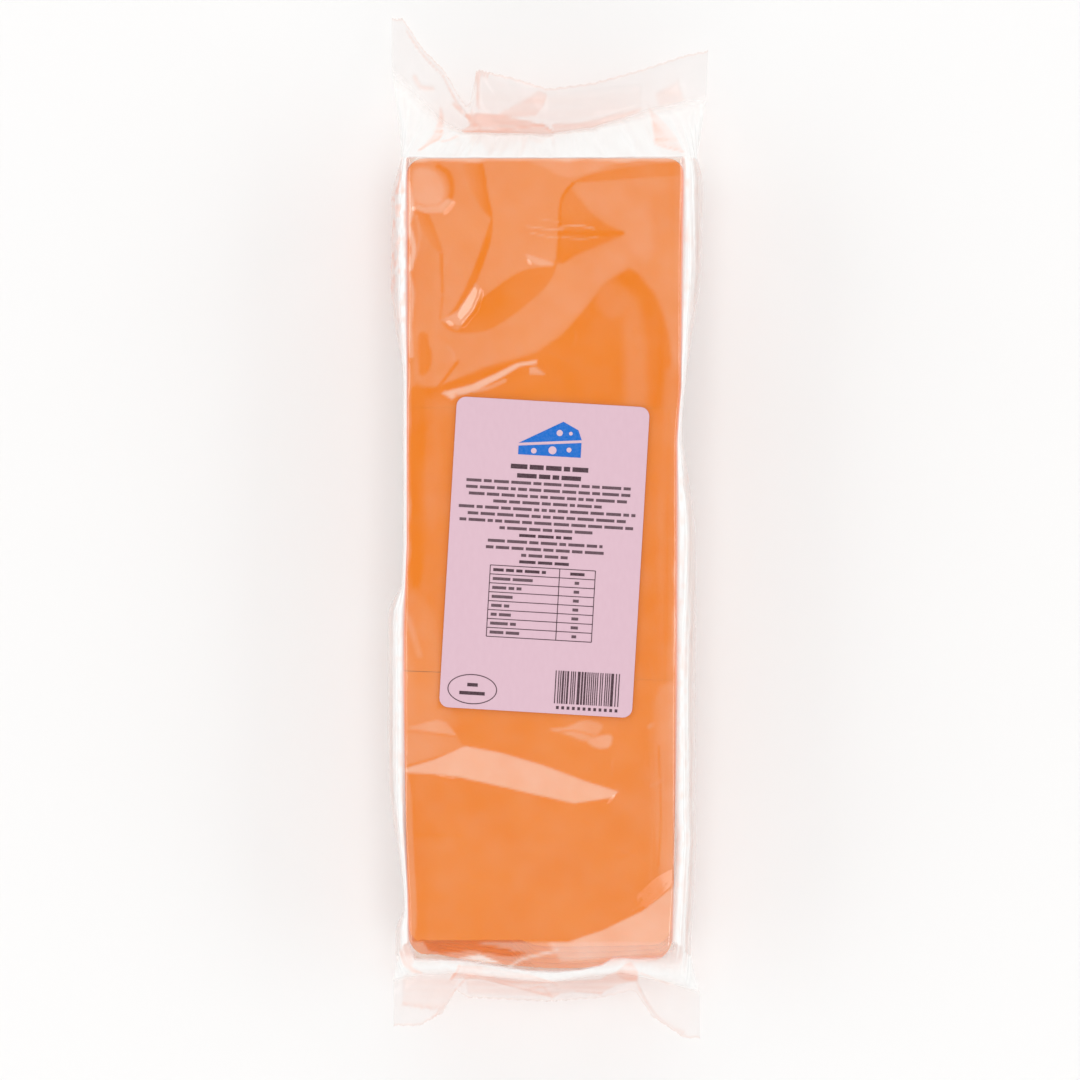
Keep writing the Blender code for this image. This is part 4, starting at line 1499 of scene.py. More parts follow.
@dataclass(frozen=True)
class FilmSleeve:
    """The two sheets of film, from seal to seal."""

    block: Block
    plan: PlanShift
    relief: Relief
    finish: FilmFinish
    side_gap: float = 0.7
    crease_height: float = 15.0
    crease_wave: float = 2.0
    crease_wave_length: float = 120.0
    left_swells: tuple[Swell, ...] = (
        Swell(124.0, 106.0, 80.0, 46.0, 4.2),
        Swell(-17.0, -27.0, -72.0, -120.0, 4.0),
        Swell(-122.0, -130.0, -150.0, -160.0, 3.0),
    )
    right_swells: tuple[Swell, ...] = (
        Swell(132.0, 112.0, 92.0, 40.0, 5.4),
        Swell(37.5, -5.0, -150.0, -165.0, 5.2),
    )
    top_seal: Seal = Seal(
        End.TOP,
        inner=(
            (-50.9, 151.0, 8.0), (-41.0, 140.0, 11.0), (-34.0, 132.8, 13.0), (-27.0, 129.2, 15.0),
            (0.0, 128.6, 17.0), (14.5, 130.8, 17.0), (32.0, 136.6, 15.0), (51.4, 141.5, 11.0),
        ),
        cut=(
            (-50.9, 166.4, 4.5), (-47.3, 166.4, 5.0), (-41.0, 156.6, 7.0), (-34.0, 149.6, 9.0),
            (-27.4, 138.0, 12.0), (-25.4, 137.4, 13.0), (-23.4, 149.4, 15.0), (-12.0, 146.8, 14.0),
            (0.0, 143.0, 15.5), (14.5, 145.0, 14.0), (30.0, 149.3, 12.5), (44.5, 154.2, 10.0),
            (52.0, 155.8, 8.0),
        ),
        bands=TOP_BANDS,
        slant_bands=TOP_SLANT_BANDS,
    )
    low_seal: Seal = Seal(
        End.LOW,
        inner=(
            (-50.4, -147.0, 6.0), (-41.0, -144.6, 7.0), (-29.6, -144.2, 8.5), (0.0, -147.2, 9.0),
            (23.5, -144.0, 10.0), (39.6, -147.4, 8.5), (49.4, -151.0, 6.5),
        ),
        cut=(
            (-50.4, -161.6, 3.0), (-42.0, -161.6, 3.5), (-34.5, -157.4, 5.0), (-30.0, -149.6, 7.0),
            (-26.5, -152.2, 6.0), (0.3, -153.6, 4.5), (17.4, -152.2, 7.0), (28.0, -149.6, 9.0),
            (33.8, -158.4, 6.0), (44.4, -165.6, 3.0), (49.4, -165.6, 3.0),
        ),
        bulge=1.0,
        slant_milk=1.3,
        band_strength=1.05,
        slant_bands=LOW_BANDS,
        hazes=LOW_HAZES,
    )
    row_step: float = 0.62
    top_columns: int = 140
    side_columns: int = 24
    under_columns: int = 40
    lower_side_columns: int = 12
    end_rows: int = 26
    seal_rows: int = 18
    layer_gap: float = 0.12
    streak_height: float = 0.32
    streaks: int = 5
    gather_height: float = 0.42
    rib_height: float = 0.10
    ribs: int = 9
    serration: float = 0.35
    crumple_height: float = 0.22
    full_slack: float = 2.5
    least_ripple: float = 0.15
    wall_pull_out: float = 1.0
    wall_pull_height: float = 40.2
    under_pull_in: float = 0.6
    under_pull_height: float = 1.5
    crumpled_left: Triple = (96.0, 22.0, 3.2)
    wall_lines: tuple[Triple, ...] = ((1.6, 30.0, 1.0), (0.8, 12.0, 0.5))
    wall_crumples: Pair = (1.4, 2.6)
    wall_spread: float = 14.0
    wall_apart: float = 40.0
    face_gap: float = 0.9
    under_face_gap: float = 0.7
    face_blur: float = 0.7
    gather_waves: tuple[Triple, ...] = (
        (7.0, 0.4, 1.0), (12.6, 2.1, 0.7), (21.3, 4.0, 0.45), (34.0, 1.2, 0.25),
    )
    # milk whitens the crumpled film; the edge, plain, streak, crumple and cut-edge amounts below paint the
    # cheese's orange light reflected in the film as a salmon tint
    edge_milk: float = 1.2
    edge_painted_cheese_reflection: float = 0.4
    upper_milk: float = 3.2
    wall_milk: float = 0.7
    foot_milk: float = 1.25
    upper_depth: float = 0.45
    clear_foot: float = 0.85
    milk_depth: float = 0.08
    wall_gap: float = 1.2
    slant_gap: float = 0.1
    under_gap: float = 0.1
    seal_milk: float = 0.35
    seal_gap: float = 0.0
    milk_cloud: float = 0.06
    plain_painted_cheese_reflection: float = 0.02
    streak_painted_cheese_reflection: float = 0.10
    crumple_painted_cheese_reflection: float = 0.5
    cut_edge_painted_cheese_reflection: float = 0.24
    band_streaks: float = 0.45
    # raises the gap over the slid-out slices into a painted reflection that lightens their shade
    haze_painted_reflection: float = 14.0
    haze_milk: float = 0.16
    band_height: float = 0.5

    def crease(self, y: Array) -> tuple[Array, Array]:
        """The side creases where the two sheets meet.

        Args:
            y: places along the bag.

        Returns:
            The left crease's (x, z) and the right crease's, as rows.
        """
        wave = self.crease_wave * np.sin(2.0 * math.pi * y / self.crease_wave_length)
        left = self.block.left(y) - self.side_gap - sum(s.at(y) for s in self.left_swells)
        right = self.block.right(y) + self.side_gap + sum(s.at(y) for s in self.right_swells)
        return (
            np.stack([left, self.crease_height + wave], axis=1),
            np.stack([right, self.crease_height - wave], axis=1),
        )

    def bend(self, start: Array, pull: Array, end: Array, t: Array) -> Array:
        """Curves from start to end, drawn towards pull, one curve a row.

        Args:
            start: the first points (x, z), a row for each place along the bag.
            pull: the points that draw the curves.
            end: the last points.
            t: shares of the way.

        Returns:
            The points, by place and share.
        """
        t = t[None, :, None]
        return (1 - t) ** 2 * start[:, None] + 2 * t * (1 - t) * pull[:, None] + t * t * end[:, None]

    def side_curve(self, crease: Array, edge: Array, t: Array, y: Array, out: float) -> Array:
        """The upper sheet's side wall, from its crease up to the block's edge, with its long wrinkles.

        Args:
            crease: the crease's (x, z), by place.
            edge: the block's edge (x, z), by place.
            t: shares of the way up.
            y: places along the bag.
            out: 1 if outward is +X, else -1.

        Returns:
            The points (x, z), by place and share.
        """
        pull_height = np.full(len(y), self.wall_pull_height)
        pull = np.stack([crease[:, 0] + out * self.wall_pull_out, pull_height], axis=1)
        wall = self.bend(crease, pull, edge, t)
        calm = np.sin(math.pi * np.clip(t, 0.0, 1.0))[None, :]
        slack = np.abs(crease[:, 0] - edge[:, 0]) - self.block.shoulder
        calm = calm * np.clip((slack - 0.5) / self.full_slack, self.least_ripple, 1.0)[:, None]
        phase = 2.2 * np.sin(y / 31.0 + out) + 1.3 * np.sin(y / 13.0 + 2.0 * out)
        ripple = np.sin(2.0 * math.pi * self.streaks * t[None, :] + phase[:, None])
        ripple += 0.5 * np.sin(2.0 * math.pi * (self.streaks * 1.9) * t[None, :] - 1.7 * phase[:, None])
        wall[:, :, 0] += out * self.streak_height * calm * ripple
        across = t[None, :] * self.wall_spread + np.zeros((len(y), 1))
        along = y[:, None] + np.zeros((1, len(t)))
        creases = np.abs(cell_noise(across, along, 2.2, 5.0, 51))
        creases += 0.6 * np.abs(cell_noise(across, along, 1.1, 2.4, 52))
        wall[:, :, 0] -= out * self.crumple_height * calm * creases * self.crumpled(y, out)[:, None]
        return wall

    def upper_body(self, y: Array) -> tuple[Array, Array]:
        """The upper sheet over the block.

        Args:
            y: places along the bag.

        Returns:
            The points by place and column, and their gap levels.
        """
        left, right = self.crease(y)
        top = self.block.top_face
        left_edge = np.stack([self.block.left(y) + self.block.shoulder, np.full(len(y), top)], axis=1)
        right_edge = np.stack([self.block.right(y) - self.block.shoulder, np.full(len(y), top)], axis=1)
        up = np.linspace(0.0, 1.0, self.side_columns + 1)
        left_wall = self.side_curve(left, left_edge, up, y, -1.0)
        right_wall = self.side_curve(right, right_edge, up, y, 1.0)[:, ::-1]
        across = np.linspace(0.0, 1.0, self.top_columns + 1)[None, 1:-1, None]
        face = left_edge[:, None] + (right_edge - left_edge)[:, None] * across
        height, level = self.relief.over(face[:, :, 0], np.repeat(y[:, None], face.shape[1], axis=1))
        face = face.copy()
        face[:, :, 1] += soften(soften(height, self.face_blur, 0), self.face_blur, 1)
        plan = np.concatenate([left_wall, face, right_wall], axis=1)
        gaps = np.full(plan.shape[:2], self.face_gap)
        gaps[:, self.side_columns + 1:-(self.side_columns + 1)] = level
        return self.along(plan, y), gaps

    def under_body(self, y: Array) -> tuple[Array, Array]:
        """The under sheet below the block.

        Args:
            y: places along the bag.

        Returns:
            The points by place and column, and their gap levels.
        """
        left, right = self.crease(y)
        left_foot = np.stack([self.block.left(y) + self.block.foot_inset, np.zeros(len(y))], axis=1)
        right_foot = np.stack([self.block.right(y) - self.block.foot_inset, np.zeros(len(y))], axis=1)
        down = np.linspace(0.0, 1.0, self.lower_side_columns + 1)
        pull_height = np.full(len(y), self.under_pull_height)
        left_pull = np.stack([left[:, 0] + self.under_pull_in, pull_height], axis=1)
        right_pull = np.stack([right[:, 0] - self.under_pull_in, pull_height], axis=1)
        left_wall = self.bend(left, left_pull, left_foot, down)
        right_wall = self.bend(right, right_pull, right_foot, down)[:, ::-1]
        across = np.linspace(0.0, 1.0, self.under_columns + 1)[None, 1:-1, None]
        flat = left_foot[:, None] + (right_foot - left_foot)[:, None] * across
        plan = np.concatenate([left_wall, flat, right_wall], axis=1)
        return self.along(plan, y), np.full(plan.shape[:2], self.under_face_gap)

    def along(self, plan: Array, y: Array) -> Array:
        """Adds the places along the bag to points (x, z), a row for each place."""
        return np.stack([plan[:, :, 0], np.repeat(y[:, None], plan.shape[1], axis=1), plan[:, :, 1]], axis=2)

    def end_panel(self, edge: Array, seal: Seal, sheet: Sheet) -> Array:
        """The sheet from the block's end to the seal's cut edge.

        Args:
            edge: the sheet's row of points at the block's end.
            seal: the seal it runs to.
            sheet: which sheet it is.

        Returns:
            The rows of points, without the block's own row.
        """
        shares = np.linspace(0.0, 1.0, len(edge))
        inner = seal.line(seal.inner, shares)
        cut = seal.line(seal.cut, shares)
        apart = np.sin(math.pi * shares) ** 0.25 * self.layer_gap / 2.0 * sheet.value
        inner[:, 2] += apart
        cut[:, 2] += apart
        saw = np.where(np.arange(len(edge)) % 2 == 0, 1.0, -1.0) * self.serration
        cut[:, 1] += saw * seal.end.value
        rows = []
        for k in range(1, self.end_rows + 1):
            t = k / self.end_rows
            row = edge + (inner - edge) * t
            swell = seal.bulge * t * (1.0 - t) * smooth_step(edge[:, 2] / self.block.top_face)
            row[:, 1] += (inner[:, 1] - edge[:, 1]) * swell
            row[:, 2] += np.maximum(0.0, edge[:, 2] - inner[:, 2]) * swell
            row += self.gathers(shares, t, seal, sheet)
            rows.append(row)
        for k in range(1, self.seal_rows + 1):
            t = k / self.seal_rows
            row = inner + (cut - inner) * t
            row[:, 2] += self.rib_height * math.sin(2.0 * math.pi * self.ribs * t)
            row[:, 2] += 0.5 * math.sin(math.pi * t) * np.sin(2.0 * math.pi * (3.3 * shares + 0.4 * t))
            rows.append(row)
        return np.array(rows)

    def gathers(self, shares: Array, t: float, seal: Seal, sheet: Sheet) -> Array:
        """Gathered wrinkles of an end panel.

        Args:
            shares: places across the panel.
            t: how far down the panel the row is.
            seal: the seal the panel runs to.
            sheet: which sheet it is.

        Returns:
            How far each point of the row moves.
        """
        calm = math.sin(math.pi * t) ** 0.8 * (1.0 - 0.6 * seal.bulge)
        fan = shares + 0.05 * (shares - 0.5) * t
        height = np.zeros(len(shares))
        for waves, phase, size in self.gather_waves:
            height += size * np.sin(2.0 * math.pi * waves * fan + phase + 2.0 * t)
        height *= self.gather_height * calm * np.sin(math.pi * shares) ** 0.3
        move = np.zeros((len(shares), 3))
        move[:, 1] = height * 0.7 * seal.end.value
        move[:, 2] = height * 0.7 * sheet.value
        return move

    def end_looks(self, panel: Array, seal: Seal, sheet: Sheet) -> Looks:
        """Works out an end panel's gap, milk and painted salmon reflection of the cheese, and raises its folded
        bands.

        Args:
            panel: the panel's rows of points, which are moved.
            seal: the seal the panel runs to.
            sheet: which sheet it is.

        Returns:
            The gap levels, the milk and the painted cheese reflection.
        """
        x, y = panel[:, :, 0], panel[:, :, 1]
        rows = np.arange(len(panel))[:, None] * np.ones(x.shape)
        slant = smooth_step(4.0 - 4.0 * rows / self.end_rows)
        milk = self.seal_milk + (seal.slant_milk - self.seal_milk) * slant
        milk += self.milk_cloud * cell_noise(x, y, 5.0, 5.0, 31)
        slant_gap = self.slant_gap if sheet is Sheet.UPPER else self.under_gap
        gap_and_painted_reflection = self.seal_gap + (slant_gap - self.seal_gap) * slant
        folds_and_painted_cheese_reflection = self.plain_painted_cheese_reflection * (1.0 + 0.6 * cell_noise(x, y, 4.0, 9.0, 32))
        if sheet is Sheet.UPPER:
            sealed, flat = self.seal_share(rows), np.clip(rows - self.end_rows + 2.0, 0.0, 1.0)
            streaks = 1.0 + self.band_streaks * cell_noise(x + 3.0 * y, y, 16.0, 1.0, 33)
            for band, where in [(b, flat) for b in seal.bands] + [(b, 1.0) for b in seal.slant_bands]:
                share = band.share(x, y) * where
                folds_and_painted_cheese_reflection += (seal.band_strength * streaks * band.level_at(x, y) - folds_and_painted_cheese_reflection) * share
                panel[:, :, 2] += self.band_height * share * sealed
            # painted reflection over the shaded slid-out slices
            for area in seal.hazes:
                share = area.share(x, y)
                milk += (self.haze_milk * area.level_at(x, y) - milk) * share
                gap_and_painted_reflection += (self.haze_painted_reflection * area.level_at(x, y) - gap_and_painted_reflection) * share
        # painted salmon reflection along the serrated cut edge
        folds_and_painted_cheese_reflection[-1:] = np.maximum(folds_and_painted_cheese_reflection[-1:], self.cut_edge_painted_cheese_reflection)
        return gap_and_painted_reflection, np.clip(milk, 0.0, 2.0), np.clip(folds_and_painted_cheese_reflection, 0.0, 1.0)

    def seal_share(self, rows: Array) -> Array:
        """How far each row of an end panel lies in the flat seal, from 0 to 1."""
        return smooth_step((rows - 0.7 * self.end_rows) / (0.3 * self.end_rows))

    def wall_looks(self, gaps: Array, y: Array, sheet: Sheet) -> Looks:
        """Works out the body's gap, milk and painted salmon reflection of the cheese: clear on the faces,
        whiter on the crumpled side walls, salmon along the block's edge and in the walls' streaks and crumples.

        Args:
            gaps: the faces' gap levels.
            y: places along the bag.
            sheet: which sheet it is.

        Returns:
            The gap levels, the milk and the layers.
        """
        columns = self.side_columns if sheet is Sheet.UPPER else self.lower_side_columns
        milk, folds_and_painted_cheese_reflection, gaps = np.zeros(gaps.shape), np.zeros(gaps.shape), gaps.copy()
        down = np.linspace(1.0, 0.0, columns + 1)[None, :] * np.ones((len(y), 1))
        along = y[:, None] * np.ones(down.shape)
        rise = smooth_step(down / self.milk_depth)
        for side in (-1.0, 1.0):
            across = down * self.wall_spread + self.wall_apart * side
            streaks = sum(
                share * cell_noise(across, along, width, length, 41 + k)
                for k, (width, length, share) in enumerate(self.wall_lines)
            )
            crumples = cell_noise(across, along, *self.wall_crumples, 43) * self.crumpled(y, side)[:, None]
            lower = smooth_step(down / self.upper_depth)
            if sheet is Sheet.UPPER:
                full_milk = self.upper_milk + (self.wall_milk - self.upper_milk) * lower
            else:
                full_milk = self.foot_milk + (self.wall_milk - self.foot_milk) * smooth_step(down)
            wall_milk = self.edge_milk + (full_milk - self.edge_milk) * rise
            # painted salmon reflection of the cheese in the walls' streaks and crumples, and along the block's
            # edge
            wall_painted_cheese_reflection = self.plain_painted_cheese_reflection + self.streak_painted_cheese_reflection * streaks + self.crumple_painted_cheese_reflection * crumples
            clear = 1.0 - self.clear_foot * lower / self.crumpled(y, side)[:, None]
            wall_painted_cheese_reflection = np.maximum(wall_painted_cheese_reflection, 0.0) * rise * clear
            wall_painted_cheese_reflection += self.edge_painted_cheese_reflection * (1.0 - rise)
            if side < 0.0:
                milk[:, :columns + 1], folds_and_painted_cheese_reflection[:, :columns + 1] = wall_milk, wall_painted_cheese_reflection
                gaps[:, :columns + 1] = self.wall_gap / self.crumpled(y, side)[:, None]
            else:
                milk[:, -columns - 1:] = wall_milk[:, ::-1]
                folds_and_painted_cheese_reflection[:, -columns - 1:] = wall_painted_cheese_reflection[:, ::-1]
                gaps[:, -columns - 1:] = self.wall_gap
        return gaps, milk, np.clip(folds_and_painted_cheese_reflection, 0.0, 0.8)

    def crumpled(self, y: Array, side: float) -> Array:
        """How crumpled a side wall is at y: evenly little, and more on the left near the top."""
        middle, reach, extra = self.crumpled_left
        return 1.0 + extra * np.exp(-(((y - middle) / reach) ** 2)) * (1.0 if side < 0.0 else 0.0)

    def build_sheet(self, sheet: Sheet, name: str) -> Piece:
        """Makes one sheet as a piece.

        Args:
            sheet: which sheet.
            name: the piece's name.

        Returns:
            The piece, not yet dressed.
        """
        length = self.block.top_end - self.block.low_end
        step = self.row_step if sheet is Sheet.UPPER else 2.0 * self.row_step
        y = np.linspace(self.block.low_end, self.block.top_end, int(round(length / step)) + 1)
        body, gaps = self.upper_body(y) if sheet is Sheet.UPPER else self.under_body(y)
        body[0, :, 1] -= self.block.fan_reach(body[0, :, 0], body[0, :, 2])
        low = self.end_panel(body[0], self.low_seal, sheet)
        top = self.end_panel(body[-1], self.top_seal, sheet)
        body_looks = self.wall_looks(gaps, y, sheet)
        low_looks = self.end_looks(low, self.low_seal, sheet)
        top_looks = self.end_looks(top, self.top_seal, sheet)
        points = np.concatenate([low[::-1], body, top])
        rows, columns = points.shape[:2]
        piece = mesh_object(
            name,
            self.plan.place(points.reshape(-1, 3)),
            grid_faces(rows, columns, flip=sheet is Sheet.UNDER),
            smooth=True,
        )
        for look, low_part, body_part, top_part in zip(FILM_LOOKS, low_looks, body_looks, top_looks):
            values = np.concatenate([low_part[::-1], body_part, top_part])
            layer = piece.data.attributes.new(look, "FLOAT", "POINT")
            layer.data.foreach_set("value", values.ravel().astype(np.float32))
        return piece

    def build(self) -> list[Piece]:
        """Makes both sheets.

        Returns:
            The two pieces.
        """
        material = self.finish.build()
        pieces = [self.build_sheet(sheet, f"film_{sheet.name.lower()}_sheet") for sheet in Sheet]
        for piece in pieces:
            piece.data.materials.append(material)
            piece.visible_shadow = False
            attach(piece, BODY)
            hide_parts("bag")
        return pieces


# The label


@dataclass(frozen=True)
class Bar:
    """A printed rectangle on the label: its middle and size."""

    x: float
    y: float
    width: float
    height: float


@dataclass
class PrintLayer:
    """Printed shapes of one colour, as thin raised plates on the label."""

    name: str
    place: LabelPlace
    plan: PlanShift
    finish: PrintFinish
    slot: Slot
    clearance: float = 0.02
    thickness: float = 0.03
    ring_plates: int = 48
    outlines: list[Array] = field(default_factory=list)

    def bar(self, bar: Bar) -> None:
        """Adds a rectangle."""
        x, y, w, h = bar.x, bar.y, bar.width / 2.0, bar.height / 2.0
        self.outlines.append(np.array([(x - w, y - h), (x + w, y - h), (x + w, y + h), (x - w, y + h)]))

    def ring(self, x: float, y: float, radius_x: float, radius_y: float, line: float) -> None:
        """Adds an oval line, as short plates end to end.

        Args:
            x: the oval's middle.
            y: the oval's middle.
            radius_x: half its width.
            radius_y: half its height.
            line: the line's width.
        """
        angles = np.linspace(0.0, 2.0 * math.pi, self.ring_plates + 1)
        around = np.stack([np.cos(angles), np.sin(angles)], axis=1)
        outer = (x, y) + around * (radius_x, radius_y)
        inner = (x, y) + around * (radius_x - line, radius_y - line)
        for k in range(self.ring_plates):
            self.outlines.append(np.array([outer[k], outer[k + 1], inner[k + 1], inner[k]]))

    def shape(self, outline: Line | Array) -> None:
        """Adds a filled shape, its points anticlockwise."""
        self.outlines.append(np.array(outline, float))

    def build(self) -> Piece:
        """Makes the layer as a piece.

        Returns:
            The piece.
        """
        low = self.place.top + self.clearance
        high = low + self.thickness
        points, faces, start = [], [], 0
        for outline in self.outlines:
            flat = self.place.to_plan(outline)
            count = len(flat)
            points.append(np.column_stack([flat, np.full(count, low)]))
            points.append(np.column_stack([flat, np.full(count, high)]))
            faces.append([start + k for k in range(count - 1, -1, -1)])
            faces.append([start + count + k for k in range(count)])
            for k in range(count):
                nxt = (k + 1) % count
                faces.append([start + k, start + nxt, start + count + nxt, start + count + k])
            start += 2 * count
        piece = mesh_object(self.name, self.plan.place(np.concatenate(points)), faces, smooth=False)
        piece.data.materials.append(self.finish.build())
        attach(piece, BODY)
        return piece


@dataclass(frozen=True)
class Label:
    """The paper label, with plain bars and rules where print would be."""

    place: LabelPlace
    plan: PlanShift
    paper: PaperFinish
    ink: PrintFinish
    small_ink: PrintFinish
    blue: PrintFinish
    title_rows: Stations = ((28.7, 25.0, 1.5), (25.8, 20.6, 1.4))
    row_widths: Numbers = (
        53.0, 53.0, 51.0, 35.0, 57.0, 51.0, 56.0, 30.0, 17.0, 37.0, 38.0, 15.0, 16.0,
    )
    word_lengths: Pair = (1.6, 6.4)
    word_space: float = 0.75
    least_rest: float = 0.8
    first_row: float = 23.5
    row_pitch: float = 2.12
    row_height: float = 0.95
    bold_rows: tuple[int, ...] = (8, 12)
    table: tuple[float, float, float, float] = (-17.2, 16.7, -26.5, -3.5)
    table_rows: int = 8
    table_divider: float = 5.2
    head_cells: Pair = (17.0, 4.6)
    name_cells: Pair = (5.0, 13.0)
    number_cells: Pair = (1.4, 2.6)
    cell_margin: float = 1.0
    rule: float = 0.26
    stamp: tuple[float, float, float, float] = (-20.7, -43.8, 8.0, 4.85)
    stamp_line: float = 0.3
    stamp_bars: tuple[Bar, ...] = (Bar(-20.7, -42.4, 3.4, 1.1), Bar(-20.7, -45.1, 8.2, 1.1))
    code: tuple[float, float, float, float] = (16.3, -41.5, 21.0, 10.6)
    code_bars: Numbers = (0.33, 0.33, 0.6, 0.9)
    code_spaces: Numbers = (0.3, 0.33, 0.6)
    code_dashes: int = 12
    dash_pitch: float = 1.72
    dash_start: float = 1.2
    dash_drop: float = 1.3
    dash: Pair = (0.9, 1.0)
    wedge: tuple[Line, ...] = (
        ((-10.4, 32.6), (9.8, 32.6), (9.8, 37.4), (-10.4, 35.4)),
        ((-10.4, 36.3), (9.8, 38.3), (8.6, 41.4), (3.6, 43.9)),
    )
    holes: Stations = (
        (-5.4, 34.0, 0.9), (0.6, 34.5, 1.3), (5.9, 34.9, 0.8), (2.6, 40.2, 1.0), (6.2, 40.2, 0.6),
    )
    hole_steps: int = 20
    hole_clearance: float = 0.055
    seed: int = 21

    def words(
        self, layer: PrintLayer, middle: float, y: float, width: float, height: float, draw: np.random.Generator
    ) -> None:
        """Fills a row with word-long bars.

        Args:
            layer: the print layer that gets them.
            middle: the row's middle.
            y: its height on the label.
            width: its whole width.
            height: the bars' height.
            draw: the seeded source of lengths.
        """
        x = middle - width / 2.0
        end = middle + width / 2.0
        while x < end - self.least_rest:
            length = min(draw.uniform(*self.word_lengths), end - x)
            if end - x - length < self.word_lengths[0]:
                length = end - x
            layer.bar(Bar(x + length / 2.0, y, length, height))
            x += length + self.word_space

    def fill_text(self, bold: PrintLayer, small: PrintLayer) -> None:
        """Adds the title bars and the rows of word bars.

        Args:
            bold: the layer of darker print.
            small: the layer of small print.
        """
        draw = np.random.default_rng(self.seed)
        for y, width, height in self.title_rows:
            self.words(bold, 0.0, y, width, height, draw)
        for k, width in enumerate(self.row_widths):
            layer = bold if k in self.bold_rows else small
            self.words(layer, 0.0, self.first_row - k * self.row_pitch, width, self.row_height, draw)

    def fill_table(self, bold: PrintLayer, small: PrintLayer) -> None:
        """Adds the ruled table with a bar in each cell.

        Args:
            bold: the layer of darker print.
            small: the layer of small print.
        """
        draw = np.random.default_rng(self.seed + 1)
        left, right, low, high = self.table
        pitch = (high - low) / self.table_rows
        for k in range(self.table_rows + 1):
            bold.bar(Bar((left + right) / 2.0, low + k * pitch, right - left, self.rule))
        for x in (left, self.table_divider, right):
            bold.bar(Bar(x, (low + high) / 2.0, self.rule, high - low))
        for k in range(self.table_rows):
            y = high - (k + 0.5) * pitch
            length = self.head_cells[0] if k == 0 else draw.uniform(*self.name_cells)
            layer = bold if k == 0 else small
            self.words(layer, left + self.cell_margin + length / 2.0, y, length, self.row_height, draw)
            number = self.head_cells[1] if k == 0 else draw.uniform(*self.number_cells)
            layer.bar(Bar((self.table_divider + right) / 2.0, y, number, self.row_height))

    def fill_stamp(self, layer: PrintLayer) -> None:
        """Adds the oval with its two bars.

        Args:
            layer: the print layer that gets them.
        """
        layer.ring(*self.stamp, self.stamp_line)
        for bar in self.stamp_bars:
            layer.bar(bar)

    def fill_code(self, layer: PrintLayer) -> None:
        """Adds upright bars of mixed widths, with dashes under them.

        Args:
            layer: the print layer that gets them.
        """
        draw = np.random.default_rng(self.seed + 2)
        middle, y, width, height = self.code
        x = middle - width / 2.0
        end = middle + width / 2.0
        while x < end:
            bar = draw.choice(self.code_bars)
            layer.bar(Bar(x + bar / 2.0, y, bar, height))
            x += bar + draw.choice(self.code_spaces)
        start, under = middle - width / 2.0 + self.dash_start, y - height / 2.0 - self.dash_drop
        for k in range(self.code_dashes):
            layer.bar(Bar(start + k * self.dash_pitch, under, *self.dash))

    def fill_wedge(self, layer: PrintLayer) -> None:
        """Adds the plain wedge of cheese over a band."""
        for outline in self.wedge:
            layer.shape(outline)

    def fill_holes(self, layer: PrintLayer) -> None:
        """Adds the wedge's holes, as discs of bare paper colour.

        Args:
            layer: the print layer that gets them.
        """
        angles = np.linspace(0.0, 2.0 * math.pi, self.hole_steps, endpoint=False)
        for x, y, radius in self.holes:
            layer.shape(np.stack([x + radius * np.cos(angles), y + radius * np.sin(angles)], axis=1))

    def build(self) -> list[Piece]:
        """Dresses the paper and makes the printed layers.

        Returns:
            The printed layers' pieces.
        """
        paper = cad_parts["label"]
        paper.data.materials.clear()
        paper.data.materials.append(self.paper.build())
        bare = PrintFinish("bare_paper", self.paper.colour, 0.02)
        bold = PrintLayer("label_rules", self.place, self.plan, self.ink, Slot.INK)
        small = PrintLayer("label_rows", self.place, self.plan, self.small_ink, Slot.INK)
        blue = PrintLayer("label_wedge", self.place, self.plan, self.blue, Slot.BLUE)
        holes = PrintLayer("label_wedge_holes", self.place, self.plan, bare, Slot.PAPER, self.hole_clearance)
        self.fill_text(bold, small)
        self.fill_table(bold, small)
        self.fill_stamp(bold)
        self.fill_code(bold)
        self.fill_wedge(blue)
        self.fill_holes(holes)
        return [layer.build() for layer in (bold, small, blue, holes)]


# The studio


@dataclass(frozen=True)
class Panel:
    """A soft light panel, facing down unless it is turned about X or Y, in degrees."""

    place: Triple
    width: float
    length: float
    radiance: float
    turn: Pair = (0.0, 0.0)
    mirrored: bool = False


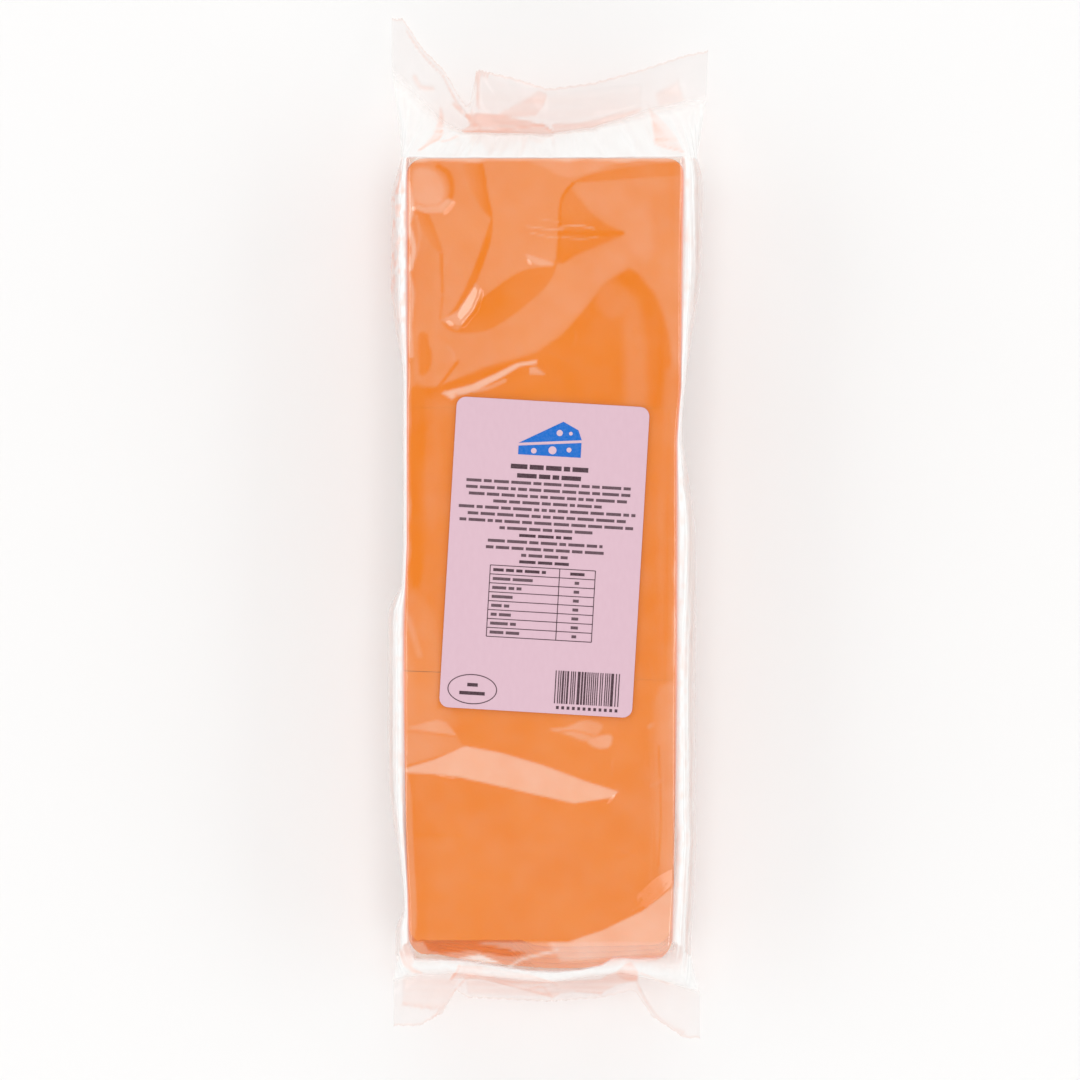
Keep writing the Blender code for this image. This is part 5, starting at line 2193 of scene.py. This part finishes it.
@dataclass(frozen=True)
class Studio:
    """Floor, light and camera."""

    floor: FloorFinish
    camera_height: float = 3.241
    sensor: float = 36.0
    view_width: float = 0.34776
    aim: Pair = (-0.0028, -0.00378)
    floor_size: float = 16.0
    floor_drop: float = 0.0003
    sky_seen: float = 1.0
    sky_light: float = 0.35
    far_clip: float = 60.0
    film_layers_seen: int = 24
    panels: tuple[Panel, ...] = (
        Panel((0.0, 0.0, 2.6), 1.7, 1.7, 2.3),
        Panel((0.0, 1.6, 0.75), 2.4, 1.2, 1.4, turn=(-75.0, 0.0)),
        Panel((0.0, -1.6, 0.75), 2.4, 1.2, 1.4, turn=(75.0, 0.0)),
        Panel((-1.6, 0.0, 0.75), 1.2, 2.4, 1.4, turn=(0.0, -75.0)),
        Panel((1.6, 0.0, 0.75), 1.2, 2.4, 1.4, turn=(0.0, 75.0)),
        Panel((-0.85, 0.0, 3.2), 0.7, 2.2, 1.3, mirrored=True),
        Panel((0.85, 0.0, 3.2), 0.7, 2.2, 1.3, mirrored=True),
    )

    def build_floor(self) -> None:
        """Makes the pale table."""
        half = self.floor_size / 2.0
        points = np.array([(-half, -half, 0.0), (half, -half, 0.0), (half, half, 0.0), (-half, half, 0.0)])
        points[:, 2] = -self.floor_drop
        piece = mesh_object("floor", points, [[0, 1, 2, 3]], smooth=False)
        piece.data.materials.append(self.floor.build())

    def build_sky(self) -> None:
        """Makes the even sky, brighter where it is seen or mirrored than as a light."""
        world = bpy.data.worlds.new("white_studio")
        bpy.context.scene.world = world
        world.use_nodes = True
        nodes, links = world.node_tree.nodes, world.node_tree.links
        sky = nodes["Background"]
        sky.inputs["Color"].default_value = (1.0, 1.0, 1.0, 1.0)
        path = nodes.new("ShaderNodeLightPath")
        either = nodes.new("ShaderNodeMath")
        either.operation = "MAXIMUM"
        links.new(path.outputs["Is Camera Ray"], either.inputs[0])
        links.new(path.outputs["Is Glossy Ray"], either.inputs[1])
        strength = nodes.new("ShaderNodeMapRange")
        strength.inputs["To Min"].default_value = self.sky_light
        strength.inputs["To Max"].default_value = self.sky_seen
        links.new(either.outputs[0], strength.inputs["Value"])
        links.new(strength.outputs[0], sky.inputs["Strength"])

    def build_light(self) -> None:
        """Makes the soft panels."""
        for k, panel in enumerate(self.panels):
            light = bpy.data.lights.new(f"panel_{k}", "AREA")
            light.shape = "RECTANGLE"
            light.size = panel.width
            light.size_y = panel.length
            light.energy = panel.radiance * math.pi * panel.width * panel.length
            lamp = bpy.data.objects.new(f"panel_{k}", light)
            lamp.location = panel.place
            lamp.rotation_euler = (math.radians(panel.turn[0]), math.radians(panel.turn[1]), 0.0)
            lamp.visible_camera = False
            lamp.visible_glossy = panel.mirrored
            bpy.context.scene.collection.objects.link(lamp)

    def build_camera(self) -> None:
        """Makes the camera, straight above the pack."""
        lens = bpy.data.cameras.new("camera")
        lens.sensor_width = self.sensor
        reach = self.camera_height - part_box("bag")[1].z
        lens.lens = self.sensor * reach / self.view_width
        lens.clip_end = self.far_clip
        camera = bpy.data.objects.new("camera", lens)
        camera.location = (*self.aim, self.camera_height)
        bpy.context.scene.collection.objects.link(camera)
        bpy.context.scene.camera = camera

    def build(self) -> None:
        """Sets the whole studio."""
        self.build_floor()
        self.build_sky()
        self.build_light()
        self.build_camera()
        scene = bpy.context.scene
        scene.view_settings.view_transform = "Standard"
        scene.cycles.transparent_max_bounces = self.film_layers_seen


def main() -> None:
    """Builds the studio, then the cheese, the film and the label."""
    logging.basicConfig(level=logging.INFO, format="%(name)s %(message)s")
    plan = PlanShift()
    block = Block()
    place = LabelPlace()
    Studio(FloorFinish()).build()
    pieces = CheeseSlices(block, plan, CheeseFinish()).build()
    relief = Relief(UPPER_SHEET_AREAS, UPPER_SHEET_FOLDS, place, block)
    pieces += FilmSleeve(block, plan, relief, FilmFinish()).build()
    pieces += Label(
        place,
        plan,
        PaperFinish(),
        PrintFinish("dark_ink", (0.05, 0.02, 0.03)),
        PrintFinish("small_dark_ink", (0.10, 0.055, 0.07)),
        PrintFinish("blue_ink", (0.0, 0.125, 0.50)),
    ).build()
    for piece in pieces:
        report(piece)


if __name__ == "__main__":
    main()
